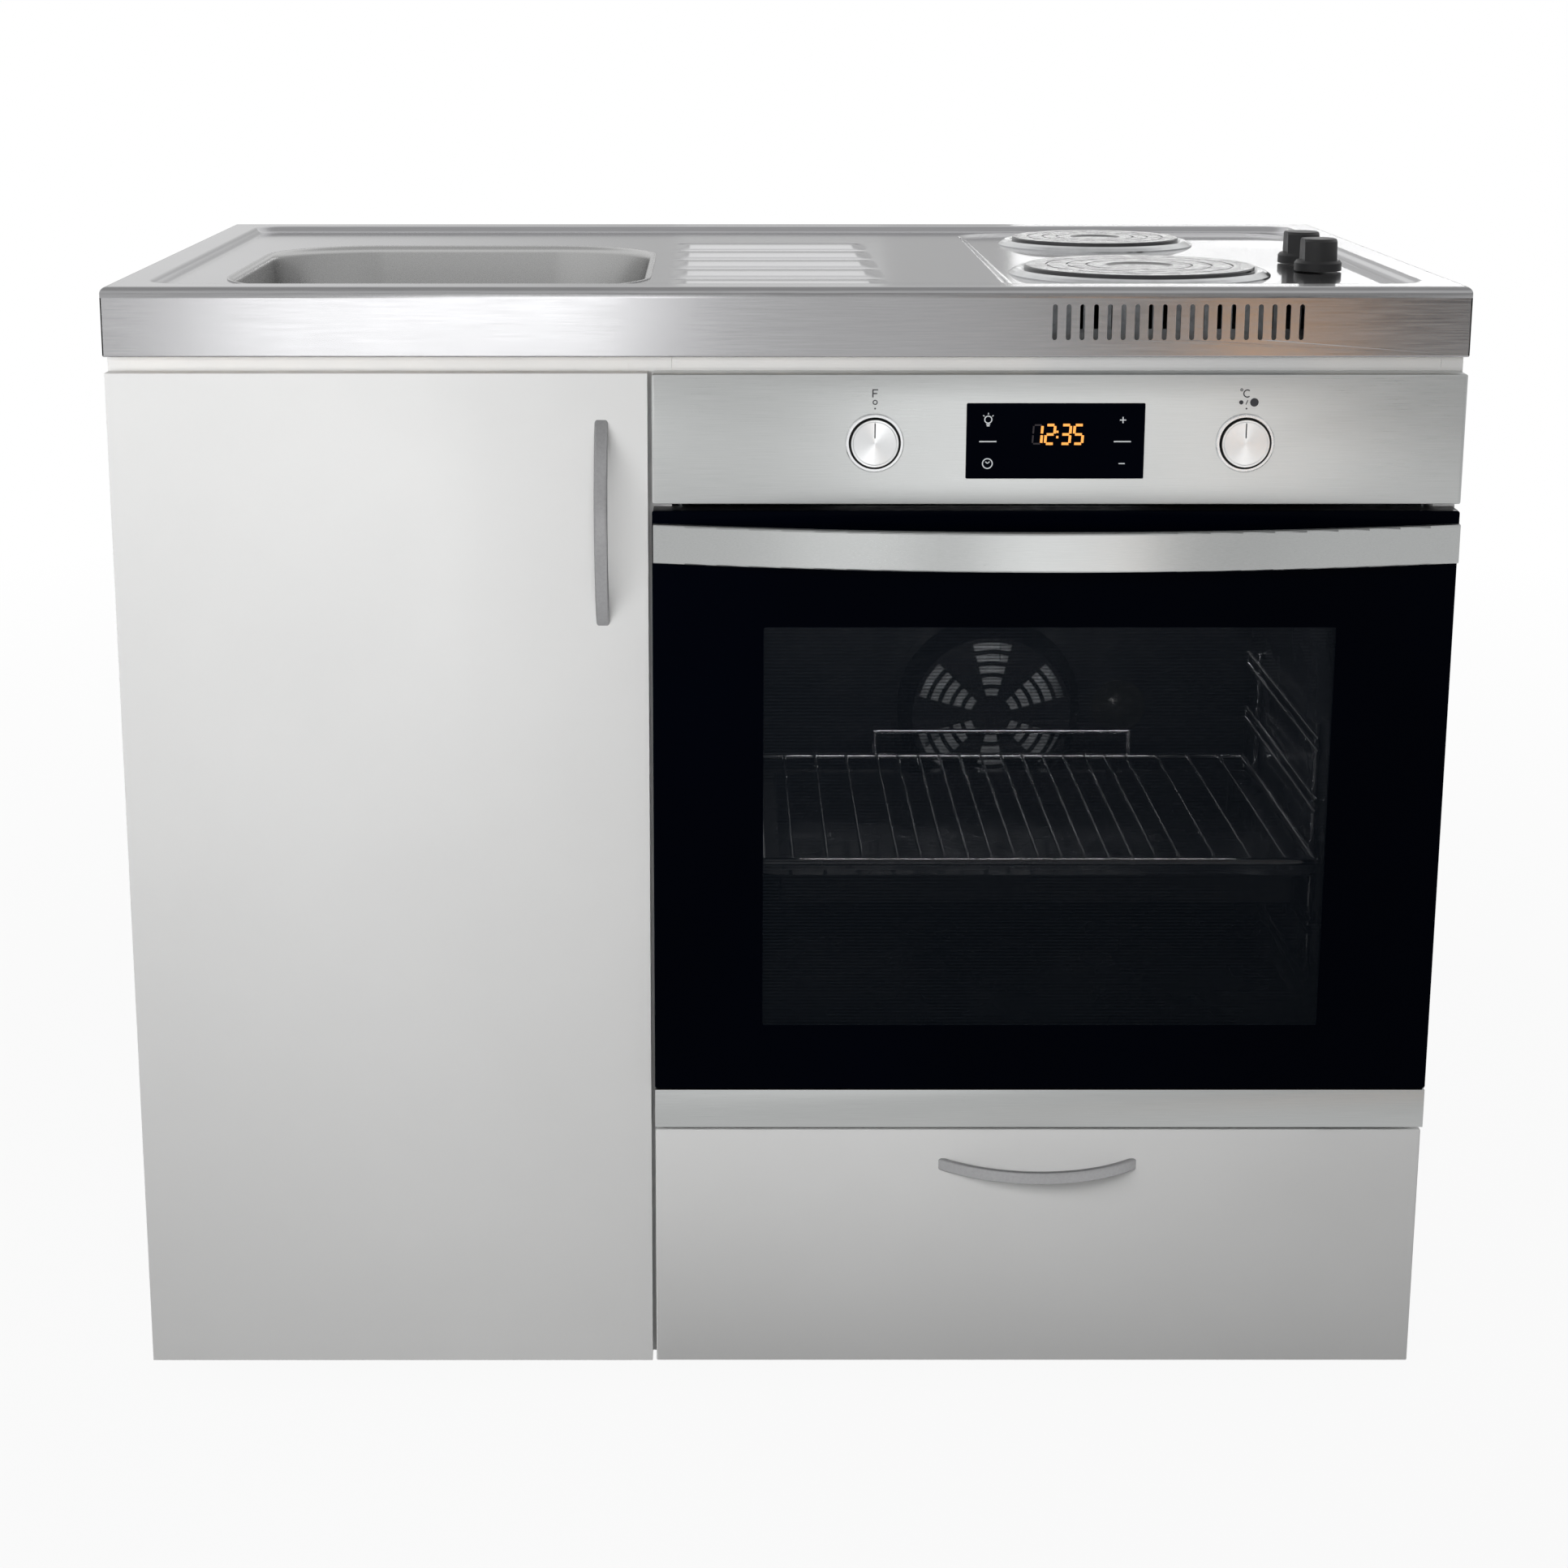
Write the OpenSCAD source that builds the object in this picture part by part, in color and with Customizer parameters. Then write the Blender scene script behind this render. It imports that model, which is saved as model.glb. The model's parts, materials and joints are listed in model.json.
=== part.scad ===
// Kitchenette unit. A pressed steel worktop with a sink bowl, a drainer and two hotplates stands on two
// laminated cabinets: the left one has a hinged door, the right one a built-in oven over a drawer.
// X runs to the right, the front faces -Y and Z is up. The origin is the middle of the box round the
// unit, on the floor. All sizes are in millimetres.

/* [Unit] */
// Width of the oven cabinet
oven_bay_w = 600; // [590:5:660]
// Depth of the worktop
worktop_d = 600; // [590:5:680]
// Height of the worktop's rim above the floor
worktop_top = 870; // [850:5:930]
// Height of the levelling feet
foot_h = 20; // [15:1:40]
// Thickness of the cabinet boards
panel_t = 16; // [15:1:19]
// Depth of the cabinets, without their fronts
carcass_d = 560; // [540:5:575]
// Thickness of the back boards
back_t = 8; // [4:1:12]
// Height of the upright rails
rail_h = 80; // [60:5:100]

/* [Worktop] */
// Height of the worktop's apron
apron_h = 51; // [45:1:60]
// Thickness of the pressed steel sheet
sheet_t = 1.2; // [1:0.1:1.5]
// Width of the raised rim
rim_w = 30; // [29:1:36]
// Height of the rim above the pressed field
rim_h = 5; // [3:0.5:7]
// Radius of the folded outer edges
edge_r = 4; // [3:0.5:6]
// Number of vent slots in the apron
vent_count = 19; // [9:1:21]
// Distance between vent slots
vent_pitch = 10; // [8:0.5:11]
// Width of a vent slot
vent_w = 3.6; // [2.5:0.1:3.8]
// Height of a vent slot
vent_h = 26; // [18:1:30]
// Number of flutes on the drainer
flute_count = 5; // [3:1:5]
// Distance between flutes
flute_pitch = 82; // [60:1:84]
// Width of the groove between two flutes
flute_groove = 12; // [6:1:20]
// Length of the flutes
flute_len = 160; // [120:5:170]
// Height of a flute
flute_h = 2.2; // [1.5:0.1:3]

/* [Sink] */
// Width of the bowl's opening
bowl_w = 316; // [280:2:360]
// Depth of the bowl's opening from front to back
bowl_d = 360; // [320:5:380]
// Depth of the bowl
bowl_h = 150; // [120:5:170]
// Radius of the bowl's corners in plan
bowl_r = 85; // [60:5:95]
// Distance from the front of the worktop to the bowl
bowl_front = 44; // [42:1:60]
// Distance from the left end of the worktop to the bowl
bowl_left = 78; // [74:1:110]
// Distance from the bowl to the seam between the cabinets
bowl_right = 6; // [5:1:60]
// Inner radius of the strainer waste
waste_r = 34; // [30:1:36]
// Outer diameter of the outlet pipe
outlet_d = 40; // [32:1:50]

/* [Hob] */
// Diameter of the front hotplate
front_plate_d = 180; // [160:5:185]
// Diameter of the rear hotplate
rear_plate_d = 145; // [120:5:150]
// Distance from the worktop's front to the middle of the front hotplate
front_plate_y = 180; // [175:1:190]
// Distance from the worktop's front to the middle of the rear hotplate
rear_plate_y = 455; // [430:1:460]
// Height of the hotplates above the sheet
plate_rise = 7; // [5:0.5:9]
// Width of the steel rims round the hotplates
plate_rim_w = 12; // [9:1:14]
// Depth of the tray under the hotplates
hob_tray_h = 38; // [34:1:40]
// Diameter of a hob knob
hob_knob_d = 37; // [32:1:40]
// Height of a hob knob
hob_knob_h = 25; // [20:1:30]

/* [Fronts] */
// Thickness of the door and the drawer front
front_t = 16; // [15:1:18]
// Gap between the cabinets and their fronts
front_gap = 2; // [2:0.5:3]
// Open strip between the fronts and the worktop
top_reveal = 12; // [8:1:16]
// Gap between neighbouring fronts
reveal = 3; // [2:0.5:5]
// Distance between the feet of a bow handle
handle_len = 147; // [96:1:160]
// How far a bow handle stands off at its middle
handle_bow = 27; // [22:1:32]
// Width of a bow handle's strip
handle_w = 10; // [8:1:14]
// Distance from the top of the door to its handle
handle_drop = 38; // [30:1:100]
// Height of the cupboard shelf above the cabinet's bottom board
shelf_rise = 314; // [200:1:400]

/* [Drawer] */
// Height of the drawer front
drawer_front_h = 196; // [180:1:210]
// Height of the drawer's walls
drawer_wall_h = 118; // [80:1:125]
// Thickness of the drawer's walls
drawer_wall_t = 12; // [10:1:16]
// Length of the drawer box
drawer_len = 460; // [400:5:500]

/* [Oven] */
// Height of the oven's control panel
panel_h = 96; // [90:1:104]
// How far the oven's front stands proud of the other fronts
oven_proud = 5; // [3:0.5:7]
// Depth of the oven's housing behind the cabinet's front edge
housing_d = 535; // [500:5:540]
// Wall thickness of the sheet metal shells
shell_t = 1.5; // [1:0.1:2]
// Width of the oven's cavity
cavity_w = 446; // [430:2:470]
// Height of the oven's cavity
cavity_h = 336; // [320:2:350]
// Depth of the oven's cavity
cavity_d = 380; // [360:5:410]
// Height of the cavity's floor above the oven shelf
cavity_rise = 77; // [72:1:84]
// Height of the oven door's handle band
band_h = 29; // [24:1:34]
// Thickness of the oven door's handle band
band_t = 8; // [6:0.5:9]
// How far the handle band bows forward
band_bow = 37; // [32:1:45]
// Height of the steel trim at the foot of the oven door
trim_h = 31; // [26:1:36]
// Width of the oven window
window_w = 427; // [380:1:430]
// Height of the oven window
window_h = 314; // [280:1:330]
// Thickness of the door's panes
glass_t = 4; // [3:0.5:5]
// Radius of an oven knob
knob_r = 18.6; // [16:0.2:20]
// Radius of the fan guard
guard_r = 82; // [76:1:90]
// Number of blades on the convection fan
blade_count = 14; // [8:1:18]
// Distance between shelf levels
level_pitch = 49; // [45:1:50]
// Number of rods in the wire shelf's close middle part
rod_count = 13; // [9:2:15]

/* [Hidden] */
$fn = 64;

// Small sizes shared by many pieces
eps = 0.01;        // overshoot of a cut
fit = 0.05;        // radial clearance of a turning shaft
loose = 0.3;       // clearance of pieces that lie against each other
screw_r = 2.5;     // shank of a cabinet screw
screw_head_r = 5;  // head of a cabinet screw

// Places along X; the sink cabinet is as wide as the bowl above it needs
sink_bay_w = bowl_left + bowl_w + bowl_right;
unit_w = sink_bay_w + oven_bay_w;
x_left = -unit_w / 2;
x_right = unit_w / 2;
x_split = x_left + sink_bay_w;
oven_x = x_split + oven_bay_w / 2;
sink_x0 = x_left + panel_t;
sink_x1 = x_split - panel_t;
niche_x0 = x_split + panel_t;
niche_x1 = x_right - panel_t;

// Places along Y
band_reach = oven_proud + band_bow + band_t;
y_front = -(worktop_d + band_reach) / 2 + band_reach;
y_back = y_front + worktop_d;
y_carcass = y_front + front_t + front_gap;
y_rear = y_carcass + carcass_d;
y_oven = y_front - oven_proud;

// Places along Z
z_bottom = foot_h + panel_t;
z_top = worktop_top - apron_h;
z_fronts = z_top - top_reveal;
drawer_top = foot_h + drawer_front_h;
door_clear = 4;
oven_z0 = drawer_top + door_clear;
shelf_top = oven_z0 - door_clear;
shelf_bottom = shelf_top - panel_t;
panel_z0 = z_fronts - panel_h;
air_gap = 5;
oven_door_top = panel_z0 - air_gap;

white = "#eceded";
board = "#e3e3df";
steel = "#b9bbba";
bright = "#cfd1d2";
dark = "#202326";
black = "#0b0d10";
enamel = "#2a2d31";
zinc = "#a6abae";
timber = "#c8a878";
plastic = "#e8e8e6";

// A flat shape with rounded corners, centred
module rounded_rect(w, d, r) {
    square([w - 2 * r, d], center = true);
    square([w, d - 2 * r], center = true);
    for (sx = [-1, 1], sy = [-1, 1])
        translate([sx * (w / 2 - r), sy * (d / 2 - r)])
            circle(r);
}

// A box between two corners
module box(lo, hi) {
    translate(lo)
        cube(hi - lo);
}

// A cylinder along Y, from y0 to y1
module rod_y(r, y0, y1, x = 0, z = 0) {
    translate([x, y0, z])
        rotate([-90, 0, 0])
            cylinder(h = y1 - y0, r = r);
}

// A cylinder along X, from x0 to x1
module rod_x(r, x0, x1, y = 0, z = 0) {
    translate([x0, y, z])
        rotate([0, 90, 0])
            cylinder(h = x1 - x0, r = r);
}

// Turns a shape drawn in plan so that it faces the front: its Y becomes Z, its thickness runs to +Y
module facing_front(y) {
    translate([0, y, 0])
        rotate([90, 0, 0])
            mirror([0, 0, 1])
                children();
}

// Spins a profile about an axis along Y: the profile's X is the radius, its Y runs to the back
module revolve_y(x, y, z) {
    translate([x, y, z])
        rotate([-90, 0, 0])
            rotate_extrude()
                children();
}

// ---------------------------------------------------------------- cabinets

pin_r = 2.5;
pin_depth = 9;
pin_out = 9;
pin_pitch = 32;
pin_y = [y_carcass + 60, y_carcass + 420];
shelf_z = z_bottom + shelf_rise;
pin_z = shelf_z - pin_r;

// The row of shelf pin holes on the inner face of a panel of the sink cabinet
module pin_holes(x, side) {
    for (y = pin_y, i = [-2:2])
        rod_x(pin_r + fit, min(x, x + side * pin_depth), max(x, x + side * pin_depth), y, pin_z + i * pin_pitch);
}

screw_y = [y_carcass + 40, y_carcass + 500];
screw_z = [z_bottom + 60, z_top - 140];
screw_len = 26;
notch_gap = 10;    // room round the bowl in the panel beside it
notch_h = 92;

module side_panel(x0) {
    box([x0, y_carcass, foot_h], [x0 + panel_t, y_rear, z_top]);
}

module outer_side_panels() color(white) {
    difference() {
        side_panel(x_left);
        pin_holes(sink_x0, -1);
    }
    side_panel(niche_x1);
}

module joining_holes() {
    for (y = screw_y, z = screw_z)
        rod_x(screw_r + fit, sink_x1 - 1, sink_x1 + screw_len + 1, y, z);
}

// The sink's right panel, with a notch in its top for the bowl
module sink_side_panel() color(white)
    difference() {
        side_panel(sink_x1);
        pin_holes(sink_x1, 1);
        joining_holes();
        box([sink_x1 - 1, bowl_y - bowl_d / 2 - notch_gap, z_top - notch_h],
            [x_split + 1, bowl_y + bowl_d / 2 + notch_gap, z_top + 1]);
    }

module oven_side_panel() color(white)
    difference() {
        side_panel(x_split);
        joining_holes();
    }

foot_inset = 45;
foot_stem_r = 5;

// Middles of the levelling feet, four under each cabinet
foot_places = [
    for (x = [sink_x0 + foot_inset, sink_x1 - foot_inset, niche_x0 + foot_inset, niche_x1 - foot_inset],
         y = [y_carcass + foot_inset, y_rear - foot_inset]) [x, y]
];

module bottom_panels() color(white)
    difference() {
        union() {
            box([sink_x0, y_carcass, foot_h], [sink_x1, y_rear - back_t, z_bottom]);
            box([niche_x0, y_carcass, foot_h], [niche_x1, y_rear - back_t, z_bottom]);
        }
        for (p = foot_places)
            translate([p[0], p[1], foot_h - 1])
                cylinder(h = panel_t + 2, r = foot_stem_r + fit);
    }

module levelling_feet() color(dark)
    for (p = foot_places)
        translate([p[0], p[1], 0])
            rotate_extrude()
                polygon([
                    [0, 0], [17, 0], [19, 2], [19, 6], [15, 9], [9, 11], [9, foot_h],
                    [foot_stem_r, foot_h], [foot_stem_r, z_bottom - 2], [0, z_bottom - 2]
                ]);

module oven_shelf() color(white)
    box([niche_x0, y_carcass, shelf_bottom], [niche_x1, y_rear, shelf_top]);

cutout_w = 220;
cutout_h = 150;
trap_z = 610;
bowl_x = x_left + bowl_left + bowl_w / 2;
bowl_y = y_front + bowl_front + bowl_d / 2;

// Back boards: one behind the sink with a cut-out for the pipes, one behind the drawer
module back_panels() color(board) {
    difference() {
        box([sink_x0, y_rear - back_t, foot_h], [sink_x1, y_rear, z_top]);
        translate([bowl_x, 0, trap_z])
            facing_front(y_rear - back_t - 1)
                linear_extrude(back_t + 2)
                    rounded_rect(cutout_w, cutout_h, 12);
    }
    box([niche_x0, y_rear - back_t, foot_h], [niche_x1, y_rear, shelf_bottom]);
}

flat_rail_d = 100;

module front_rails() color(white) {
    box([sink_x0, y_carcass, z_top - rail_h], [sink_x1, y_carcass + panel_t, z_top]);
    box([niche_x0, y_carcass, z_top - panel_t], [niche_x1, y_carcass + flat_rail_d, z_top]);
}

module rear_rails() color(white) {
    box([sink_x0, y_rear - back_t - panel_t, z_top - rail_h], [sink_x1, y_rear - back_t, z_top]);
    box([niche_x0, y_rear - panel_t, z_top - panel_t], [niche_x1, y_rear, z_top]);
}

shelf_side_gap = 1;
shelf_setback = 30;

module cupboard_shelf() color(white)
    box([sink_x0 + shelf_side_gap, y_carcass + shelf_setback, shelf_z],
        [sink_x1 - shelf_side_gap, y_rear - back_t - shelf_setback, shelf_z + panel_t]);

module shelf_pins() color(zinc)
    for (y = pin_y) {
        rod_x(pin_r, sink_x0 - pin_depth, sink_x0 + pin_out, y, pin_z);
        rod_x(pin_r, sink_x1 - pin_out, sink_x1 + pin_depth, y, pin_z);
    }

// Screws that join the two cabinets, with their heads inside the cupboard
module carcass_screws() color(zinc)
    for (y = screw_y, z = screw_z) {
        rod_x(screw_r, sink_x1, sink_x1 + screw_len, y, z);
        difference() {
            rod_x(screw_head_r, sink_x1 - 2.5, sink_x1, y, z);
            rod_x(2, sink_x1 - 2.6, sink_x1 - 1, y, z);
        }
    }

// ---------------------------------------------------------------- worktop

field_z = worktop_top - rim_h;
field_w = unit_w - 2 * rim_w;
field_d = worktop_d - 2 * rim_w;
field_y = y_front + worktop_d / 2;
step_run = 5;      // how far the sloping side of the pressed field runs
step_r = 22;
hob_dip = 2;       // depth of the pressed hob recess
hob_w = 288;
hob_d = 520;
hob_edge = 7;      // from the field's right side to the hob recess
hob_x = x_right - rim_w - step_run - hob_edge - hob_w / 2;
hob_z = field_z - hob_dip;
plate_x = hob_x - 32;
switch_x = hob_x + hob_w / 2 - 31;
switch_y = [y_front + 200, y_front + 270];
spindle_r = 3;
vent_x0 = oven_x - 4;
vent_z = z_top + apron_h / 2;
drainer_x = (bowl_x + bowl_w / 2 + plate_x - front_plate_d / 2 - plate_rim_w) / 2 - 42;
drainer_y = y_front + 35 + flute_count * flute_pitch / 2;

// A plate whose two upper edges are rounded, w wide and h high, standing on the X axis
module top_rounded(w, h, r) {
    translate([-w / 2, 0])
        square([w, h - r]);
    translate([-w / 2 + r, 0])
        square([w - 2 * r, h]);
    for (s = [-1, 1])
        translate([s * (w / 2 - r), h - r])
            circle(r);
}

// The worktop's block, drawn in by inset on every outer face
module worktop_block(inset) {
    h = apron_h - inset;
    translate([0, field_y, z_top])
        intersection() {
            translate([0, worktop_d / 2, 0])
                rotate([90, 0, 0])
                    linear_extrude(worktop_d)
                        top_rounded(unit_w - 2 * inset, h, edge_r - inset / 2);
            translate([-unit_w / 2, 0, 0])
                rotate([90, 0, 90])
                    linear_extrude(unit_w)
                        top_rounded(worktop_d - 2 * inset, h, edge_r - inset / 2);
        }
}

// A pressed recess: its floor is w by d, its side slopes up and out over run to the height above
module pressed_recess(w, d, r, run, height, above) {
    hull() {
        linear_extrude(eps)
            rounded_rect(w, d, r, $fn = 32);
        translate([0, 0, height])
            linear_extrude(above)
                rounded_rect(w + 2 * run, d + 2 * run, r + run, $fn = 32);
    }
}

module field_recess(grow) {
    translate([0, field_y, field_z - grow])
        pressed_recess(field_w - 2 * step_run + 2 * grow, field_d - 2 * step_run + 2 * grow, step_r,
                       step_run, rim_h, apron_h);
}

module hob_recess(grow) {
    translate([hob_x, field_y, hob_z - grow])
        pressed_recess(hob_w + 2 * grow, hob_d - 2 * step_run - 2 * hob_edge + 2 * grow, 40, 4, hob_dip, 4);
}

// One flute of the drainer, a low arc across its width
module flute() {
    w = flute_pitch - flute_groove;
    r = (w * w / 4 + flute_h * flute_h) / (2 * flute_h);
    translate([-flute_len / 2, 0, 0])
        rotate([90, 0, 90])
            linear_extrude(flute_len)
                intersection() {
                    translate([0, flute_h - r])
                        circle(r, $fn = 180);
                    translate([-w / 2, -sheet_t / 2])
                        square([w, flute_h + sheet_t]);
                }
}

// One vent slot with round ends
module vent_slot() {
    facing_front(y_front - 1)
        linear_extrude(sheet_t + 2) {
            square([vent_w, vent_h - vent_w], center = true);
            for (s = [-1, 1])
                translate([0, s * (vent_h - vent_w) / 2])
                    circle(vent_w / 2);
        }
}

plate_hole_gap = 1.5;

module worktop_sheet() color(steel)
    difference() {
        union() {
            difference() {
                worktop_block(0);
                field_recess(0);
                difference() {
                    translate([0, 0, -eps])
                        worktop_block(sheet_t);
                    field_recess(sheet_t);
                    hob_recess(sheet_t);
                }
                hob_recess(0);
            }
            for (i = [0:flute_count - 1])
                translate([drainer_x, drainer_y + (i - (flute_count - 1) / 2) * flute_pitch, field_z])
                    flute();
        }
        translate([bowl_x, bowl_y, z_top])
            linear_extrude(apron_h)
                rounded_rect(bowl_w, bowl_d, bowl_r);
        translate([plate_x, y_front + front_plate_y, z_top])
            cylinder(h = apron_h, r = front_plate_d / 2 + plate_hole_gap);
        translate([plate_x, y_front + rear_plate_y, z_top])
            cylinder(h = apron_h, r = rear_plate_d / 2 + plate_hole_gap);
        for (y = switch_y)
            translate([switch_x, y, z_top])
                cylinder(h = apron_h, r = spindle_r + 1);
        for (i = [0:vent_count - 1])
            translate([vent_x0 + i * vent_pitch, 0, vent_z])
                vent_slot();
    }

// ---------------------------------------------------------------- sink

bowl_t = 1;
bowl_rim = 14;
bowl_draft = 14;
bowl_fillet = 26;
bowl_top = field_z - sheet_t;
bowl_floor = field_z - bowl_h;

// The bowl's space, grown by its wall: a stack of rounded plates, drawn in towards a round floor edge
module bowl_space(grow, above) {
    hull() {
        for (a = [0, 30, 60, 90]) {
            inset = bowl_draft + bowl_fillet * (1 - sin(a));
            translate([bowl_x, bowl_y, bowl_floor - grow + bowl_fillet * (1 - cos(a))])
                linear_extrude(eps)
                    rounded_rect(bowl_w - 2 * inset + 2 * grow, bowl_d - 2 * inset + 2 * grow,
                                 bowl_r - inset / 2 + grow, $fn = 48);
        }
        translate([bowl_x, bowl_y, bowl_top - eps])
            linear_extrude(above)
                rounded_rect(bowl_w + 2 * grow, bowl_d + 2 * grow, bowl_r + grow, $fn = 48);
    }
}

waste_wall = 2;
overflow_r = 11;
overflow_z = bowl_top - 32;
overflow_x = bowl_x - bowl_w / 2;

module sink_bowl() color(bright)
    difference() {
        union() {
            bowl_space(bowl_t, eps);
            translate([bowl_x, bowl_y, bowl_top - bowl_t])
                linear_extrude(bowl_t)
                    rounded_rect(bowl_w + 2 * bowl_rim, bowl_d + 2 * bowl_rim, bowl_r + bowl_rim);
        }
        bowl_space(0, 3);
        translate([bowl_x, bowl_y, bowl_floor - 10])
            cylinder(h = 20, r = waste_r + waste_wall + fit);
        rod_x(overflow_r + fit, overflow_x - 10, overflow_x + 20, bowl_y, overflow_z);
    }

cup_h = 42;
flange_over = 8;
tail_r = 17;
tail_z = bowl_floor - cup_h - 40;
port_z = bowl_floor - cup_h / 2 - 4;
port_len = 14;
pipe_wall = 2;

nut_h = 12;

// Strainer waste: a flange on the bowl's floor, a cup below it, a tailpiece, a nut and an overflow port
module waste_flange() color(bright) {
    cup_r = waste_r + waste_wall;
    cup_z = bowl_floor - cup_h;
    lip_r = waste_r + flange_over;
    difference() {
        translate([bowl_x, bowl_y, 0])
            union() {
                rotate_extrude()
                    polygon([
                        [tail_r - waste_wall, tail_z], [tail_r, tail_z], [tail_r, cup_z], [cup_r, cup_z],
                        [cup_r, bowl_floor], [lip_r, bowl_floor], [lip_r, bowl_floor + 1],
                        [lip_r - 2, bowl_floor + 2], [waste_r + 1, bowl_floor + 2], [waste_r, bowl_floor + 1],
                        [waste_r, cup_z + waste_wall], [tail_r - waste_wall, cup_z + waste_wall]
                    ]);
                translate([0, 0, bowl_floor - bowl_t - nut_h])
                    difference() {
                        cylinder(h = nut_h, r = waste_r + 9, $fn = 10);
                        translate([0, 0, -1])
                            cylinder(h = nut_h + 2, r = cup_r - waste_wall / 2);
                    }
                difference() {
                    rod_x(overflow_r, -cup_r - port_len, -waste_r - waste_wall / 2, 0, port_z);
                    cylinder(h = worktop_top, r = cup_r - waste_wall / 2);
                }
            }
        rod_x(overflow_r - pipe_wall, bowl_x - cup_r - port_len - 1, bowl_x - waste_r / 2, bowl_y, port_z);
    }
}

plug_r = waste_r - 0.6;
plug_floor = bowl_floor - 24;

// Strainer basket with a knob: it lifts out of the waste
module strainer_plug() color(bright)
    difference() {
        translate([bowl_x, bowl_y, 0])
            rotate_extrude()
                polygon([
                    [0, plug_floor], [plug_r - 5, plug_floor], [plug_r, plug_floor + 5],
                    [plug_r, bowl_floor + 2 + loose], [waste_r + 3, bowl_floor + 2 + loose],
                    [waste_r + 3, bowl_floor + 3 + loose], [plug_r - 1.5, bowl_floor + 3 + loose],
                    [plug_r - 1.5, plug_floor + 6], [plug_r - 6, plug_floor + 1.5],
                    [3, plug_floor + 1.5], [3, plug_floor + 14], [8, plug_floor + 17],
                    [9, plug_floor + 20], [7, plug_floor + 23], [0, plug_floor + 24]
                ]);
        for (i = [0:11])
            translate([bowl_x, bowl_y, 0])
                rotate(i * 30)
                    translate([plug_r * 0.55, 0, plug_floor - 1])
                        cylinder(h = 4, r = 2.2);
    }

outlet_r = outlet_d / 2;
trap_r = 33;
trap_h = 96;
trap_top = trap_z + 34;
socket_r = tail_r + 4;

// Bottle trap: it hangs on the tailpiece, and its outlet runs to the wall
module bottle_trap() color(plastic)
    difference() {
        union() {
            translate([bowl_x, bowl_y, 0])
                rotate_extrude()
                    polygon([
                        [0, trap_top - trap_h], [trap_r - 4, trap_top - trap_h], [trap_r, trap_top - trap_h + 3],
                        [trap_r, trap_top - 46], [trap_r + 4, trap_top - 44], [trap_r + 4, trap_top - 26],
                        [trap_r, trap_top - 24], [trap_r, trap_top - 6], [socket_r + 4, trap_top],
                        [socket_r + 4, trap_top + 14], [socket_r, trap_top + 16], [0, trap_top + 16]
                    ]);
            rod_y(outlet_r + 5, bowl_y + trap_r - 6, bowl_y + trap_r + 18, bowl_x, trap_z);
            rod_y(outlet_r, bowl_y, y_back, bowl_x, trap_z);
        }
        translate([bowl_x, bowl_y, tail_z - loose])
            cylinder(h = 60, r = tail_r + fit);
        translate([bowl_x, bowl_y, trap_top - trap_h + 4])
            cylinder(h = trap_h - 14, r = trap_r - 3);
        rod_y(outlet_r - pipe_wall, bowl_y, y_back + 1, bowl_x, trap_z);
    }

bend_r = 22;
drop_x = overflow_x - bend_r - 6;
rosette_in = 7;    // from the mouth's edge to the back of the overflow's rosette

// A quarter bend of the overflow pipe, drawn in the XZ plane from its centre
module pipe_bend(x, z, from) {
    translate([x, bowl_y, z])
        rotate([90, 0, 0])
            rotate_extrude(angle = 90, start = from)
                translate([bend_r, 0])
                    difference() {
                        circle(overflow_r);
                        circle(overflow_r - pipe_wall);
                    }
}

module hollow_rod_x(r, x0, x1, z) {
    difference() {
        rod_x(r, x0, x1, bowl_y, z);
        rod_x(r - pipe_wall, x0 - 1, x1 + 1, bowl_y, z);
    }
}

// Overflow: a rosette on the bowl's wall, a pipe down beside the bowl and into the waste's port
module overflow_pipe() color(plastic) {
    difference() {
        union() {
            rod_x(overflow_r, drop_x + bend_r, overflow_x + rosette_in, bowl_y, overflow_z);
            rod_x(overflow_r + 5, overflow_x + rosette_in, overflow_x + rosette_in + 2, bowl_y, overflow_z);
        }
        rod_x(overflow_r - pipe_wall, drop_x, overflow_x + rosette_in - 2, bowl_y, overflow_z);
        for (i = [-1:1])
            rod_x(2.5, overflow_x, overflow_x + rosette_in + 4, bowl_y + i * 6, overflow_z);
    }
    pipe_bend(drop_x + bend_r, overflow_z - bend_r, 90);
    difference() {
        translate([drop_x, bowl_y, port_z + bend_r])
            cylinder(h = overflow_z - port_z - 2 * bend_r, r = overflow_r);
        translate([drop_x, bowl_y, port_z + bend_r - 1])
            cylinder(h = overflow_z - port_z, r = overflow_r - pipe_wall);
    }
    pipe_bend(drop_x + bend_r, port_z + bend_r, 180);
    hollow_rod_x(overflow_r, drop_x + bend_r, bowl_x - waste_r - waste_wall - port_len, port_z);
}

batten_w = 26;
batten_top = worktop_top - sheet_t;
vent_margin = 8;
vent_left = vent_x0 - vent_margin;
vent_right = vent_x0 + (vent_count - 1) * vent_pitch + vent_margin;

// Timber frame under the rim, open behind the vents
module worktop_battens() color(timber) {
    x0 = x_left + sheet_t;
    x1 = x_right - sheet_t;
    y0 = y_front + sheet_t;
    y1 = y_back - sheet_t;
    top = batten_top - edge_r;
    for (x = [x0, x1 - batten_w])
        box([x, y0, z_top], [x + batten_w, y1, top]);
    inner0 = x0 + batten_w + loose;
    inner1 = x1 - batten_w - loose;
    box([inner0, y0, z_top], [vent_left, y0 + batten_w, top]);
    box([vent_right, y0, z_top], [inner1, y0 + batten_w, top]);
    box([inner0, y1 - batten_w, z_top], [inner1, y1, top]);
}

// ---------------------------------------------------------------- hob

tray_w = hob_w - 30;
tray_d = hob_d - 60;
tray_top = hob_z - sheet_t;
tray_bottom = tray_top - hob_tray_h;

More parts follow.
